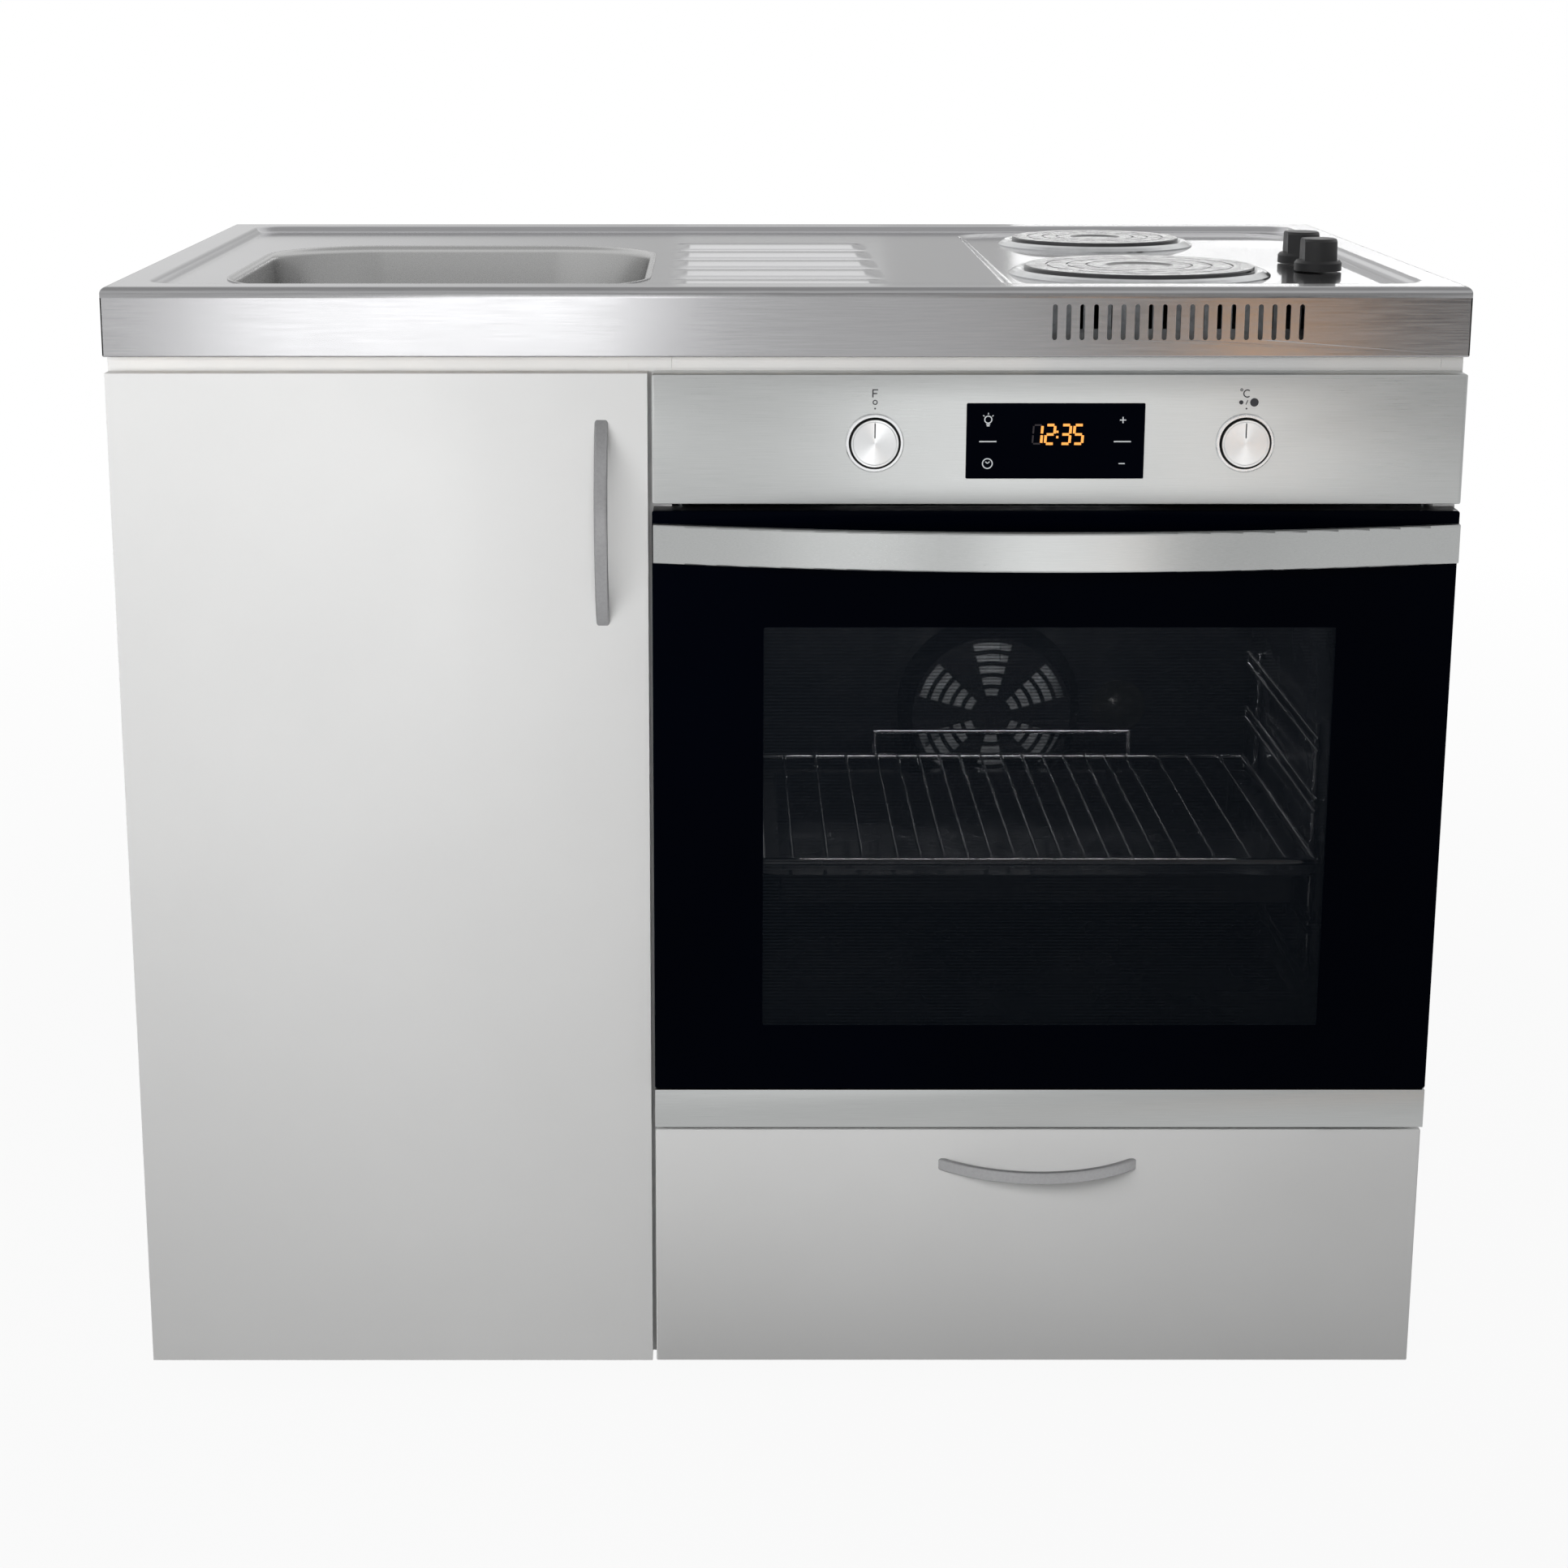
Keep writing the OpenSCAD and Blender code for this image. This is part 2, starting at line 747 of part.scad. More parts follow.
module hob_tray() color(zinc)
    difference() {
        translate([hob_x, field_y, tray_bottom])
            linear_extrude(hob_tray_h)
                square([tray_w, tray_d], center = true);
        translate([hob_x, field_y, tray_bottom + 1])
            linear_extrude(hob_tray_h)
                square([tray_w - 2, tray_d - 2], center = true);
        for (i = [-8:8])
            translate([hob_x + i * 13, field_y - tray_d / 2, tray_bottom + 18])
                cube([5, 6, 20], center = true);
    }

plate_body_h = 15;

// A cast hotplate: a dished middle, three turned grooves, a narrower foot and a fixing stud
module hotplate(d, y) {
    r = d / 2;
    top = hob_z + plate_rise;
    translate([plate_x, y_front + y, 0])
        difference() {
            rotate_extrude()
                polygon([
                    [0, tray_bottom + 1], [4, tray_bottom + 1], [4, top - plate_body_h],
                    [r - 10, top - plate_body_h], [r - 6, top - plate_body_h + 4], [r - 1, top - 6],
                    [r, top - 4], [r, top - 1], [r - 1, top], [r * 0.3, top], [r * 0.26, top - 1], [0, top - 1]
                ]);
            for (k = [0.45, 0.62, 0.8])
                translate([0, 0, top - 0.5])
                    rotate_extrude()
                        translate([r * k, 0])
                            square([1.6, 2]);
        }
}

module hotplate_front() color(dark)
    hotplate(front_plate_d, front_plate_y);

module hotplate_rear() color(dark)
    hotplate(rear_plate_d, rear_plate_y);

// The pressed ring between a hotplate and the sheet
module plate_rim(d, y) {
    r = d / 2 + loose;
    translate([plate_x, y_front + y, hob_z])
        rotate_extrude()
            polygon([
                [r, 0], [r + plate_rim_w, 0], [r + plate_rim_w, 0.8], [r + plate_rim_w - 3, 3],
                [r + plate_rim_w / 2, 4.4], [r + 1.5, 4], [r, 2.6]
            ]);
}

module hotplate_rims() color(bright) {
    plate_rim(front_plate_d, front_plate_y);
    plate_rim(rear_plate_d, rear_plate_y);
}

switch_w = 30;
switch_h = 27;
spindle_top = hob_z + 17;

module hob_switches() color(plastic)
    for (y = switch_y) {
        translate([switch_x - switch_w / 2, y - switch_w / 2, tray_top - switch_h])
            cube([switch_w, switch_w, switch_h]);
        translate([switch_x, y, tray_top - 1])
            cylinder(h = spindle_top - tray_top + 1, r = spindle_r);
    }

knob_gap = 1;

// A black hob knob with a skirt, a grip bar across its top and a bore for the spindle
module hob_knob(y) {
    r = hob_knob_d / 2;
    z0 = hob_z + knob_gap;
    translate([switch_x, y, z0])
        difference() {
            rotate_extrude()
                polygon([
                    [0, 0], [r, 0], [r, 6], [r - 1.5, 8], [r - 2.5, hob_knob_h - 2],
                    [r - 4.5, hob_knob_h], [0, hob_knob_h]
                ]);
            translate([0, 0, -eps])
                cylinder(h = spindle_top - z0 + 0.5, r = spindle_r + fit);
            for (s = [-1, 1])
                translate([s * (r + 3.5), 0, 8 + hob_knob_h / 2])
                    cube([r, 2 * r, hob_knob_h], center = true);
        }
}

module hob_knob_front() color(black)
    hob_knob(switch_y[0]);

module hob_knob_rear() color(black)
    hob_knob(switch_y[1]);

// ---------------------------------------------------------------- cupboard door

door_x0 = x_left + 1;
door_x1 = x_split - reveal / 2;
pivot_in = 6.5;    // from the door's edge to the hinge pin
pivot_deep = 9.8;  // from the door's inner face to the hinge pin
pivot_x = door_x0 + pivot_in;
pivot_y = y_front + front_t - pivot_deep;
leaf_t = 1.2;
leaf_h = 50;
mid_h = 24;
knuckle_r = 4;
hinge_pin_r = 2;
hinge_z = [foot_h + 110, z_fronts - 110];
sweep_gap = 3.6;   // depth of the notch in front of the pin, for the arm at full swing

// One bow handle: it stands on the XZ plane, bows to -Y, and its strip is as wide as handle_w
module bow_handle() {
    t = 5;
    r = (handle_len * handle_len / 4 + handle_bow * handle_bow) / (2 * handle_bow);
    half = asin(handle_len / 2 / r) + 3;
    intersection() {
        translate([0, r - handle_bow, 0])
            rotate_extrude(angle = 2 * half, start = 270 - half, $fn = 128)
                translate([r, 0])
                    rounded_rect(t, handle_w, 2);
        translate([-handle_len, -2 * handle_bow, -handle_w])
            cube([2 * handle_len, 2 * handle_bow, 2 * handle_w]);
    }
}

module cupboard_door() color(white)
    difference() {
        box([door_x0, y_front, foot_h], [door_x1, y_front + front_t, z_fronts]);
        for (z = hinge_z) {
            box([door_x0 - 1, pivot_y - sweep_gap, z - leaf_h / 2 - 0.5],
                [pivot_x + 1.6, y_front + front_t + 1, z + leaf_h / 2 + 0.5]);
            translate([pivot_x, pivot_y, z - leaf_h / 2 - 0.5])
                cylinder(h = leaf_h + 1, r = knuckle_r + loose);
        }
    }

handle_from_edge = 34;

module door_handle() color(zinc)
    translate([door_x1 - handle_from_edge, y_front, z_fronts - handle_drop - handle_len / 2])
        rotate([0, 90, 0])
            bow_handle();

// Cabinet half of a hinge: a plate inside the side panel, cranked round its front edge to the pin
module hinge_arms() color(zinc)
    for (z = hinge_z) {
        box([sink_x0, y_carcass, z - mid_h / 2], [sink_x0 + leaf_t, y_carcass + 42, z + mid_h / 2]);
        box([pivot_x - leaf_t / 2, y_carcass - leaf_t, z - mid_h / 2],
            [sink_x0 + leaf_t, y_carcass, z + mid_h / 2]);
        difference() {
            union() {
                box([pivot_x - leaf_t / 2, pivot_y, z - mid_h / 2],
                    [pivot_x + leaf_t / 2, y_carcass - leaf_t / 2, z + mid_h / 2]);
                translate([pivot_x, pivot_y, z - mid_h / 2])
                    cylinder(h = mid_h, r = knuckle_r);
            }
            translate([pivot_x, pivot_y, z - mid_h / 2 - 1])
                cylinder(h = mid_h + 2, r = hinge_pin_r + fit);
        }
        for (dz = [-7, 7])
            rod_x(3.5, sink_x0 + leaf_t, sink_x0 + leaf_t + 1.5, y_carcass + 28, z + dz);
    }

// Door half of a hinge: a plate on the door's back with two knuckles and the pin
module hinge_leaves() color(zinc)
    for (z = hinge_z) {
        y_in = y_front + front_t;
        box([sink_x0 + leaf_t + 1.5, y_in, z - leaf_h / 2], [sink_x0 + 36, y_in + leaf_t, z + leaf_h / 2]);
        for (s = [-1, 1]) {
            z0 = s > 0 ? z + mid_h / 2 + loose : z - leaf_h / 2;
            h = (leaf_h - mid_h) / 2 - loose;
            box([pivot_x - leaf_t / 2, y_in, z0], [sink_x0 + leaf_t + 2, y_in + leaf_t, z0 + h]);
            box([pivot_x - leaf_t / 2, pivot_y, z0], [pivot_x + leaf_t / 2, y_in + leaf_t / 2, z0 + h]);
            translate([pivot_x, pivot_y, z0])
                cylinder(h = h, r = knuckle_r);
        }
        translate([pivot_x, pivot_y, z - leaf_h / 2])
            cylinder(h = leaf_h, r = hinge_pin_r);
        for (dz = [-16, 16])
            rod_y(3.5, y_in + leaf_t, y_in + leaf_t + 1.5, sink_x0 + 22, z + dz);
    }

// ---------------------------------------------------------------- drawer

front_x0 = x_split + reveal / 2;
front_x1 = x_right - reveal / 2;
runner_space = 13;
box_x0 = niche_x0 + runner_space;
box_x1 = niche_x1 - runner_space;
box_z0 = z_bottom + 20;
drawer_floor_t = 6;
box_y1 = y_front + front_t + drawer_len;
runner_t = 1.2;
roller_r = 8;
roller_z = box_z0 + roller_r;

module drawer_front() color(white)
    box([front_x0, y_front, foot_h], [front_x1, y_front + front_t, drawer_top]);

module drawer_walls() color(board) {
    y0 = y_front + front_t;
    z1 = box_z0 + drawer_wall_h;
    box([box_x0, y0, box_z0], [box_x0 + drawer_wall_t, box_y1, z1]);
    box([box_x1 - drawer_wall_t, y0, box_z0], [box_x1, box_y1, z1]);
    box([box_x0, box_y1 - drawer_wall_t, box_z0 + drawer_floor_t], [box_x1, box_y1, z1]);
}

module drawer_bottom() color(board)
    box([box_x0 + drawer_wall_t, y_front + front_t, box_z0],
        [box_x1 - drawer_wall_t, box_y1, box_z0 + drawer_floor_t]);

handle_below = 29; // from the drawer front's top edge to its handle

module drawer_handle() color(zinc)
    translate([oven_x, y_front, drawer_top - handle_below])
        bow_handle();

// Mirrors a piece drawn for the left side of the oven cabinet onto both sides
module both_sides() {
    children();
    translate([2 * oven_x, 0, 0])
        mirror([1, 0, 0])
            children();
}

// Cabinet runner: a channel for the drawer's roller, with a roller of its own at the front
module runners_fixed() color(plastic)
    both_sides() {
        y0 = y_carcass + 4;
        y1 = box_y1 + 6;
        lower = roller_z - roller_r - loose;
        upper = roller_z + roller_r + loose;
        reach = niche_x0 + runner_space - 3.5;
        box([niche_x0, y0, lower - runner_t], [niche_x0 + runner_t, y1, upper + runner_t]);
        box([niche_x0, y0, lower - runner_t], [reach, y1, lower]);
        box([niche_x0, y0, upper], [reach, y1, upper + runner_t]);
        box([niche_x0, y0, z_bottom + 2], [niche_x0 + runner_t, y0 + 24, lower]);
        front_roller_z = box_z0 - runner_t - loose - roller_r;
        rod_x(3, niche_x0, box_x0 + 10, y0 + 12, front_roller_z);
        rod_x(roller_r, box_x0 + 1, box_x0 + 9, y0 + 12, front_roller_z);
    }

// Drawer runner: an angle under the drawer's wall, with its roller at the back
module runners_moving() color(plastic)
    both_sides() {
        y0 = y_front + front_t + 1;
        box([box_x0 - runner_t, y0, box_z0 - runner_t], [box_x0, box_y1, box_z0 + 24]);
        box([box_x0 - runner_t, y0, box_z0 - runner_t], [box_x0 + 14, box_y1, box_z0]);
        rod_x(roller_r, niche_x0 + runner_t + loose, box_x0 - runner_t - 2, box_y1 - 14, roller_z);
        rod_x(2.5, niche_x0 + runner_t + 1, box_x0 - runner_t / 2, box_y1 - 14, roller_z);
    }

// ---------------------------------------------------------------- oven body

seat_gap = 5;      // from the cabinet's front edge to the oven's inner front plate
y_plate = y_carcass + seat_gap;
niche_gap = 6;
housing_x0 = niche_x0 + niche_gap;
housing_x1 = niche_x1 - niche_gap;
housing_z1 = z_top - panel_t - 4;
housing_y1 = y_plate + housing_d;
cavity_z0 = shelf_top + cavity_rise;
cavity_z = cavity_z0 + cavity_h / 2;
cavity_y1 = y_plate + cavity_d;
frame_z0 = oven_z0 + 18;
frame_z1 = oven_door_top - 1;
liner_r = 14;
fan_x = oven_x - 8;
fan_z = cavity_z - 4;
lamp_x = fan_x + guard_r + 35;
wing = 8;          // how far the front plate overlaps the side panels

// Outer casing: open at the front, with louvres and a pressed cover for the motor at the back
module oven_housing() color(zinc)
    difference() {
        union() {
            box([housing_x0, y_plate, shelf_top], [housing_x1, housing_y1, housing_z1]);
            translate([fan_x, 0, fan_z])
                facing_front(housing_y1 - eps)
                    linear_extrude(12)
                        rounded_rect(250, 250, 30);
        }
        box([housing_x0 + shell_t, y_plate - 1, shelf_top + shell_t],
            [housing_x1 - shell_t, housing_y1 - shell_t, housing_z1 - shell_t]);
        translate([fan_x, 0, fan_z])
            facing_front(housing_y1 - shell_t - 1)
                linear_extrude(12 + 1)
                    rounded_rect(250 - 2 * shell_t, 250 - 2 * shell_t, 28.5);
        for (i = [0:9], s = [-1, 1])
            translate([oven_x + s * 205, housing_y1, shelf_top + 120 + i * 14])
                cube([90, 10, 5], center = true);
        for (i = [0:13])
            translate([oven_x - 130 + i * 20, housing_y1, housing_z1 - 42])
                cube([6, 10, 46], center = true);
        rod_y(inlet_r, housing_y1 - 10, housing_y1 + 5, inlet_x, inlet_z);
    }

inlet_r = 8;       // mains cable inlet in the housing's back
inlet_x = housing_x1 - 60;
inlet_z = shelf_top + 60;

// Enamelled cavity, one piece with the front plate that is screwed to the cabinet's sides
module oven_cavity() color(enamel)
    difference() {
        union() {
            box([niche_x0 - wing, y_carcass - shell_t, frame_z0], [niche_x1 + wing, y_carcass, frame_z1]);
            box([niche_x0 + 2, y_carcass - shell_t, frame_z0], [niche_x1 - 2, y_plate, frame_z1]);
            translate([oven_x, 0, cavity_z])
                facing_front(y_plate - shell_t)
                    linear_extrude(cavity_d + 2 * shell_t)
                        rounded_rect(cavity_w + 2 * shell_t, cavity_h + 2 * shell_t, liner_r + shell_t);
        }
        box([niche_x0 + 2 + shell_t, y_carcass - 2 * shell_t, frame_z0 + shell_t],
            [niche_x1 - 2 - shell_t, y_plate - shell_t, frame_z1 - shell_t]);
        translate([oven_x, 0, cavity_z])
            facing_front(y_plate - 2 * shell_t)
                linear_extrude(cavity_d + 2 * shell_t)
                    rounded_rect(cavity_w, cavity_h, liner_r);
        rod_y(12, cavity_y1 - 5, cavity_y1 + 5, fan_x, fan_z);
        for (x = [niche_x0 - wing / 2, niche_x1 + wing / 2], z = [frame_z0 + 40, frame_z1 - 40])
            rod_y(2, y_carcass - 2, y_carcass + 1, x, z);
    }

door_rear_gap = 1.2;
door_y1 = y_carcass - shell_t - door_rear_gap;
seal_r = 2.6;
seal_y = y_plate - shell_t - seal_r;
seal_out = 9;      // from the cavity's mouth to the middle of the seal
seal_corner = 20;

// Rubber seal round the cavity's mouth: straight tubes joined by quarter rings
module oven_seal() color(black) {
    hw = cavity_w / 2 + seal_out - seal_corner;
    hh = cavity_h / 2 + seal_out - seal_corner;
    translate([oven_x, seal_y, cavity_z])
        rotate([90, 0, 0]) {
            for (s = [-1, 1]) {
                translate([-hw, s * (hh + seal_corner), 0])
                    rotate([0, 90, 0])
                        cylinder(h = 2 * hw, r = seal_r, $fn = 24);
                translate([s * (hw + seal_corner), -hh, 0])
                    rotate([-90, 0, 0])
                        cylinder(h = 2 * hh, r = seal_r, $fn = 24);
            }
            for (q = [0:3])
                translate([(q == 0 || q == 3 ? 1 : -1) * hw, (q < 2 ? 1 : -1) * hh, 0])
                    rotate_extrude(angle = 90, start = q * 90)
                        translate([seal_corner, 0])
                            circle(seal_r, $fn = 24);
        }
}

// ---------------------------------------------------------------- oven controls

display_w = 131;
display_h = 56;
display_x = oven_x - 2;
control_z = z_fronts - 49;
knob_z = control_z - 1.5;
knob_x = [oven_x - 134.6, oven_x + 137.4];
bezel_r = knob_r + 3;
sleeve_r = knob_r + 1.8;
knob_play = 0.6;

module control_panel() color(steel)
    difference() {
        translate([oven_x, 0, panel_z0 + panel_h / 2])
            facing_front(y_oven)
                linear_extrude(y_carcass - y_oven)
                    rounded_rect(front_x1 - front_x0, panel_h, 1.5);
        box([front_x0 + shell_t, y_oven + shell_t, panel_z0 + shell_t],
            [front_x1 - shell_t, y_carcass + 1, z_fronts - shell_t]);
        translate([display_x, 0, control_z])
            facing_front(y_oven - 1)
                linear_extrude(shell_t + 2)
                    rounded_rect(display_w, display_h, 1);
        for (x = knob_x)
            rod_y(sleeve_r + fit, y_oven - 1, y_oven + shell_t + 1, x, knob_z);
    }

display_clear = 0.15;

// Glass of the clock, with a lip behind the panel
module display_glass() color(black) {
    translate([display_x, 0, control_z]) {
        facing_front(y_oven)
            linear_extrude(shell_t)
                rounded_rect(display_w - 2 * display_clear, display_h - 2 * display_clear, 1);
        facing_front(y_oven + shell_t)
            linear_extrude(1.5)
                rounded_rect(display_w + 8, display_h + 8, 2);
    }
}

bezel_proud = 2;
sleeve_deep = 18;
stem_r = 5;
pilot_r = 4;

// Bezels: a ring on the panel, a sleeve behind it and a floor with the stem's guide
module knob_bezels() color(bright)
    for (x = knob_x)
        revolve_y(x, y_oven, knob_z)
            polygon([
                [knob_r + knob_play, -bezel_proud], [bezel_r - 0.8, -bezel_proud], [bezel_r, -bezel_proud + 0.8],
                [bezel_r, 0], [sleeve_r, 0], [sleeve_r, sleeve_deep + 2], [stem_r + fit, sleeve_deep + 2],
                [stem_r + fit, sleeve_deep], [knob_r + knob_play, sleeve_deep]
            ]);

knob_face = -4;    // the knob's face from the panel's face when it is pushed in
knob_back = 14;
pilot_len = 9;
stem_end = 40;

// A pop-out knob: it turns on the pilot at the stem's front end
module oven_knob(x)
    revolve_y(x, y_oven, knob_z)
        polygon([
            [0, knob_face + 0.6], [knob_r - 3, knob_face + 0.6], [knob_r - 2.4, knob_face], [knob_r - 0.8, knob_face],
            [knob_r, knob_face + 0.8], [knob_r, knob_back], [pilot_r + fit, knob_back],
            [pilot_r + fit, knob_back - pilot_len - 0.5], [0, knob_back - pilot_len - 0.5]
        ]);

// The stem slides in the bezel's floor, and its collar stops it
module knob_stem(x)
    revolve_y(x, y_oven, knob_z)
        polygon([
            [0, knob_back - pilot_len], [pilot_r, knob_back - pilot_len], [pilot_r, knob_back + loose],
            [stem_r, knob_back + loose], [stem_r, stem_end - 2], [stem_r + 2, stem_end - 2],
            [stem_r + 2, stem_end], [0, stem_end]
        ]);

module function_knob() color(bright)
    oven_knob(knob_x[0]);

module temperature_knob() color(bright)
    oven_knob(knob_x[1]);

module function_knob_stem() color(plastic)
    knob_stem(knob_x[0]);

module temperature_knob_stem() color(plastic)
    knob_stem(knob_x[1]);

// ---------------------------------------------------------------- oven inside

rack_rod = 2;
rack_post = 2.5;
level_gap = 10;    // between the two rods of a level
level_count = 5;
rack_z0 = cavity_z0 + 27;
rack_y0 = y_plate + 30;
rack_y1 = cavity_y1 - 45;
wall_x0 = oven_x - cavity_w / 2;
post_x = wall_x0 + rack_post + loose;
rack_x = post_x + rack_post + rack_rod - loose;
shelf_level = 2;
wire_r = 3;
thin_r = 1.6;
thin_up = 0.9;     // how far the thin rods lie above the frame's middle
wire_z = rack_z0 + shelf_level * level_pitch + rack_rod + wire_r;

// Wire ladders on both side walls of the cavity
module side_racks() color(bright)
    both_sides() {
        for (y = [rack_y0 + 30, rack_y1 - 30])
            translate([post_x, y, rack_z0 - level_gap - 6])
                cylinder(h = (level_count - 1) * level_pitch + level_gap + 12, r = rack_post, $fn = 20);
        for (i = [0:level_count - 1], g = [0, level_gap])
            rod_y(rack_rod, rack_y0, rack_y1, rack_x, rack_z0 + i * level_pitch - g, $fn = 20);
        for (i = [0:level_count - 1])
            translate([rack_x, rack_y1, rack_z0 + i * level_pitch - level_gap])
                cylinder(h = level_gap, r = rack_rod, $fn = 20);
    }

shelf_frame_w = 2 * (oven_x - post_x - rack_post - wire_r - 0.5);
shelf_y0 = y_plate + 14;
shelf_depth = cavity_d - 62;
close_pitch = 18.3;
wide_pitch = 27.3;
stop_w = 224;
stop_h = 23;
stop_r = 2.2;
weld = 0.15;       // how far a welded joint stands proud of its wires

// Oven grid: a frame of thick wire, thin rods from front to back, a stop bar at the back
module wire_shelf() color(bright)
    translate([oven_x, shelf_y0, wire_z]) {
        half = shelf_frame_w / 2;
        side = (rod_count - 1) / 2 * close_pitch;
        for (s = [-1, 1])
            rod_y(wire_r, 0, shelf_depth, s * half, 0, $fn = 20);
        for (y = [0, shelf_depth])
            rod_x(wire_r, -half, half, y, 0, $fn = 20);
        for (s = [-1, 1], y = [0, shelf_depth])
            translate([s * half, y, 0])
                sphere(wire_r + weld, $fn = 20);
        for (i = [-(rod_count - 1) / 2:(rod_count - 1) / 2])
            rod_y(thin_r, 0, shelf_depth, i * close_pitch, thin_up, $fn = 16);
        for (s = [-1, 1], i = [1:3])
            rod_y(thin_r, 0, shelf_depth, s * (side + i * wide_pitch), thin_up, $fn = 16);
        for (s = [-1, 1])
            translate([s * stop_w / 2, shelf_depth, 0])
                cylinder(h = stop_h, r = stop_r, $fn = 16);
        rod_x(stop_r, -stop_w / 2, stop_w / 2, shelf_depth, stop_h, $fn = 16);
        for (s = [-1, 1])
            translate([s * stop_w / 2, shelf_depth, stop_h])
                sphere(stop_r + weld, $fn = 16);
    }

tray_y0 = y_plate + 16;
tray_len = cavity_d - 64;
tray_deep = 26;
tray_t = 1.2;
tray_rim_w = cavity_w - 12;
pan_w = tray_rim_w - 30;
pan_corner = 4;
rim_level = rack_z0 + shelf_level * level_pitch - level_gap + rack_rod + loose;

// Baking tray: its rim runs between the two rods of a level
module baking_tray() color(enamel)
    translate([oven_x, tray_y0 + tray_len / 2, rim_level]) {
        difference() {
            union() {
                linear_extrude(tray_t)
                    rounded_rect(tray_rim_w, tray_len, 14);
                translate([0, 0, tray_t - tray_deep])
                    linear_extrude(tray_deep)
                        rounded_rect(pan_w, tray_len - 24, pan_corner);
            }
            translate([0, 0, 2 * tray_t - tray_deep])
                linear_extrude(tray_deep)
                    rounded_rect(pan_w - 2 * tray_t, tray_len - 24 - 2 * tray_t, pan_corner - tray_t);
        }
    }

guard_deep = 35;
guard_t = 1.2;
guard_groups = 6;
guard_rings = 5;

// Fan guard: a dished disc with groups of arc slots round its middle
module fan_guard() color(enamel)
    difference() {
        revolve_y(fan_x, cavity_y1 - guard_deep, fan_z)
            polygon([
                [0, 0], [guard_r - 12, 0], [guard_r, guard_deep - 2], [guard_r + 6, guard_deep - 2],
                [guard_r + 6, guard_deep - loose], [guard_r - 1.5, guard_deep - loose],
                [guard_r - 12.7, guard_t], [0, guard_t]
            ]);
        translate([fan_x, cavity_y1 - guard_deep - 1, fan_z])
            rotate([-90, 0, 0])
                for (g = [0:guard_groups - 1], k = [0:guard_rings - 1])
                    rotate_extrude(angle = 30, start = g * 60 + 15)
                        translate([18 + k * (guard_r - 30) / guard_rings, 0])
                            square([6.5, 4]);
    }

shaft_r = 4;
fan_r = guard_r - 14;

// Convection fan: a disc, a hub with a bore and straight blades bent to the front
module convection_fan() color(zinc)
    translate([fan_x, cavity_y1 - 8, fan_z])
        rotate([90, 0, 0])
            difference() {
                union() {
                    cylinder(h = 1.5, r = fan_r);
                    cylinder(h = 16, r = 10);
                    for (i = [0:blade_count - 1])
                        rotate(i * 360 / blade_count)
                            translate([fan_r * 0.6, -0.6, 1])
                                rotate(12)
                                    cube([fan_r * 0.36, 1.2, 15]);
                }
                translate([0, 0, -1])
                    cylinder(h = 30, r = shaft_r + fit);
            }

motor_len = 48;

// Motor behind the cavity, with its shaft through the wall and a bracket on the wall
module fan_motor() color(zinc) {
    wall = cavity_y1 + shell_t;
    revolve_y(fan_x, wall, fan_z)
        polygon([
            [0, -28], [shaft_r, -28], [shaft_r, 14], [30, 14], [34, 18], [34, 14 + motor_len - 4],
            [30, 14 + motor_len], [0, 14 + motor_len]
        ]);
    difference() {
        box([fan_x - 60, wall, fan_z - 14], [fan_x + 60, wall + 14, fan_z + 14]);
        box([fan_x - 48, wall - 1, fan_z - 15], [fan_x + 48, wall + 12, fan_z + 15]);
        rod_y(shaft_r + 2, wall, wall + 12.5, fan_x, fan_z);
    }
}

// Lamp: a glass dome in a ring on the cavity's back wall
module oven_lamp() color("#f2ead8")
    revolve_y(lamp_x, cavity_y1, fan_z)
        polygon([
            [0, -14], [7, -13.2], [13, -10.5], [17, -6], [18, -4], [22, -4], [24, -2], [24, -loose], [0, -loose]
        ]);

element_r = 3.2;
element_pitch = 52;
element_runs = 6;
element_len = 250;
element_z = cavity_z0 + cavity_h - 18;

// Grill element: one tube in hairpins under the cavity's roof, ending at the back wall
module grill_element() color(enamel) {
    bend = element_pitch / 2;
    y1 = cavity_y1 - loose;
    y_turn = y1 - 40;
    y0 = y_turn - element_len;
    x0 = oven_x - (element_runs - 1) / 2 * element_pitch;
    for (i = [0:element_runs - 1]) {
        last = i == 0 || i == element_runs - 1;
        rod_y(element_r, y0, last ? y1 : y_turn, x0 + i * element_pitch, element_z, $fn = 20);
    }
    for (i = [0:element_runs - 2])
        translate([x0 + (i + 0.5) * element_pitch, i % 2 == 0 ? y0 : y_turn, element_z])
            rotate_extrude(angle = 180, start = i % 2 == 0 ? 180 : 0)
                translate([bend, 0])
                    circle(element_r, $fn = 20);
    for (x = [x0 + element_pitch, x0 + (element_runs - 2) * element_pitch], y = [y0 + 40, y_turn - 40])
        translate([x, y, element_z])
            cylinder(h = 18 - loose, r = 2.5, $fn = 20);
}

// ---------------------------------------------------------------- oven door

axis_y = y_oven + 7;
axis_z = oven_z0 + 8;
door_pin_r = 3;
lug_t = 4;
lug_r = 5;
lug_x = [oven_x - 225, oven_x + 225];
lug_gap = 1;       // on each side of a lug
slot_h = 22;

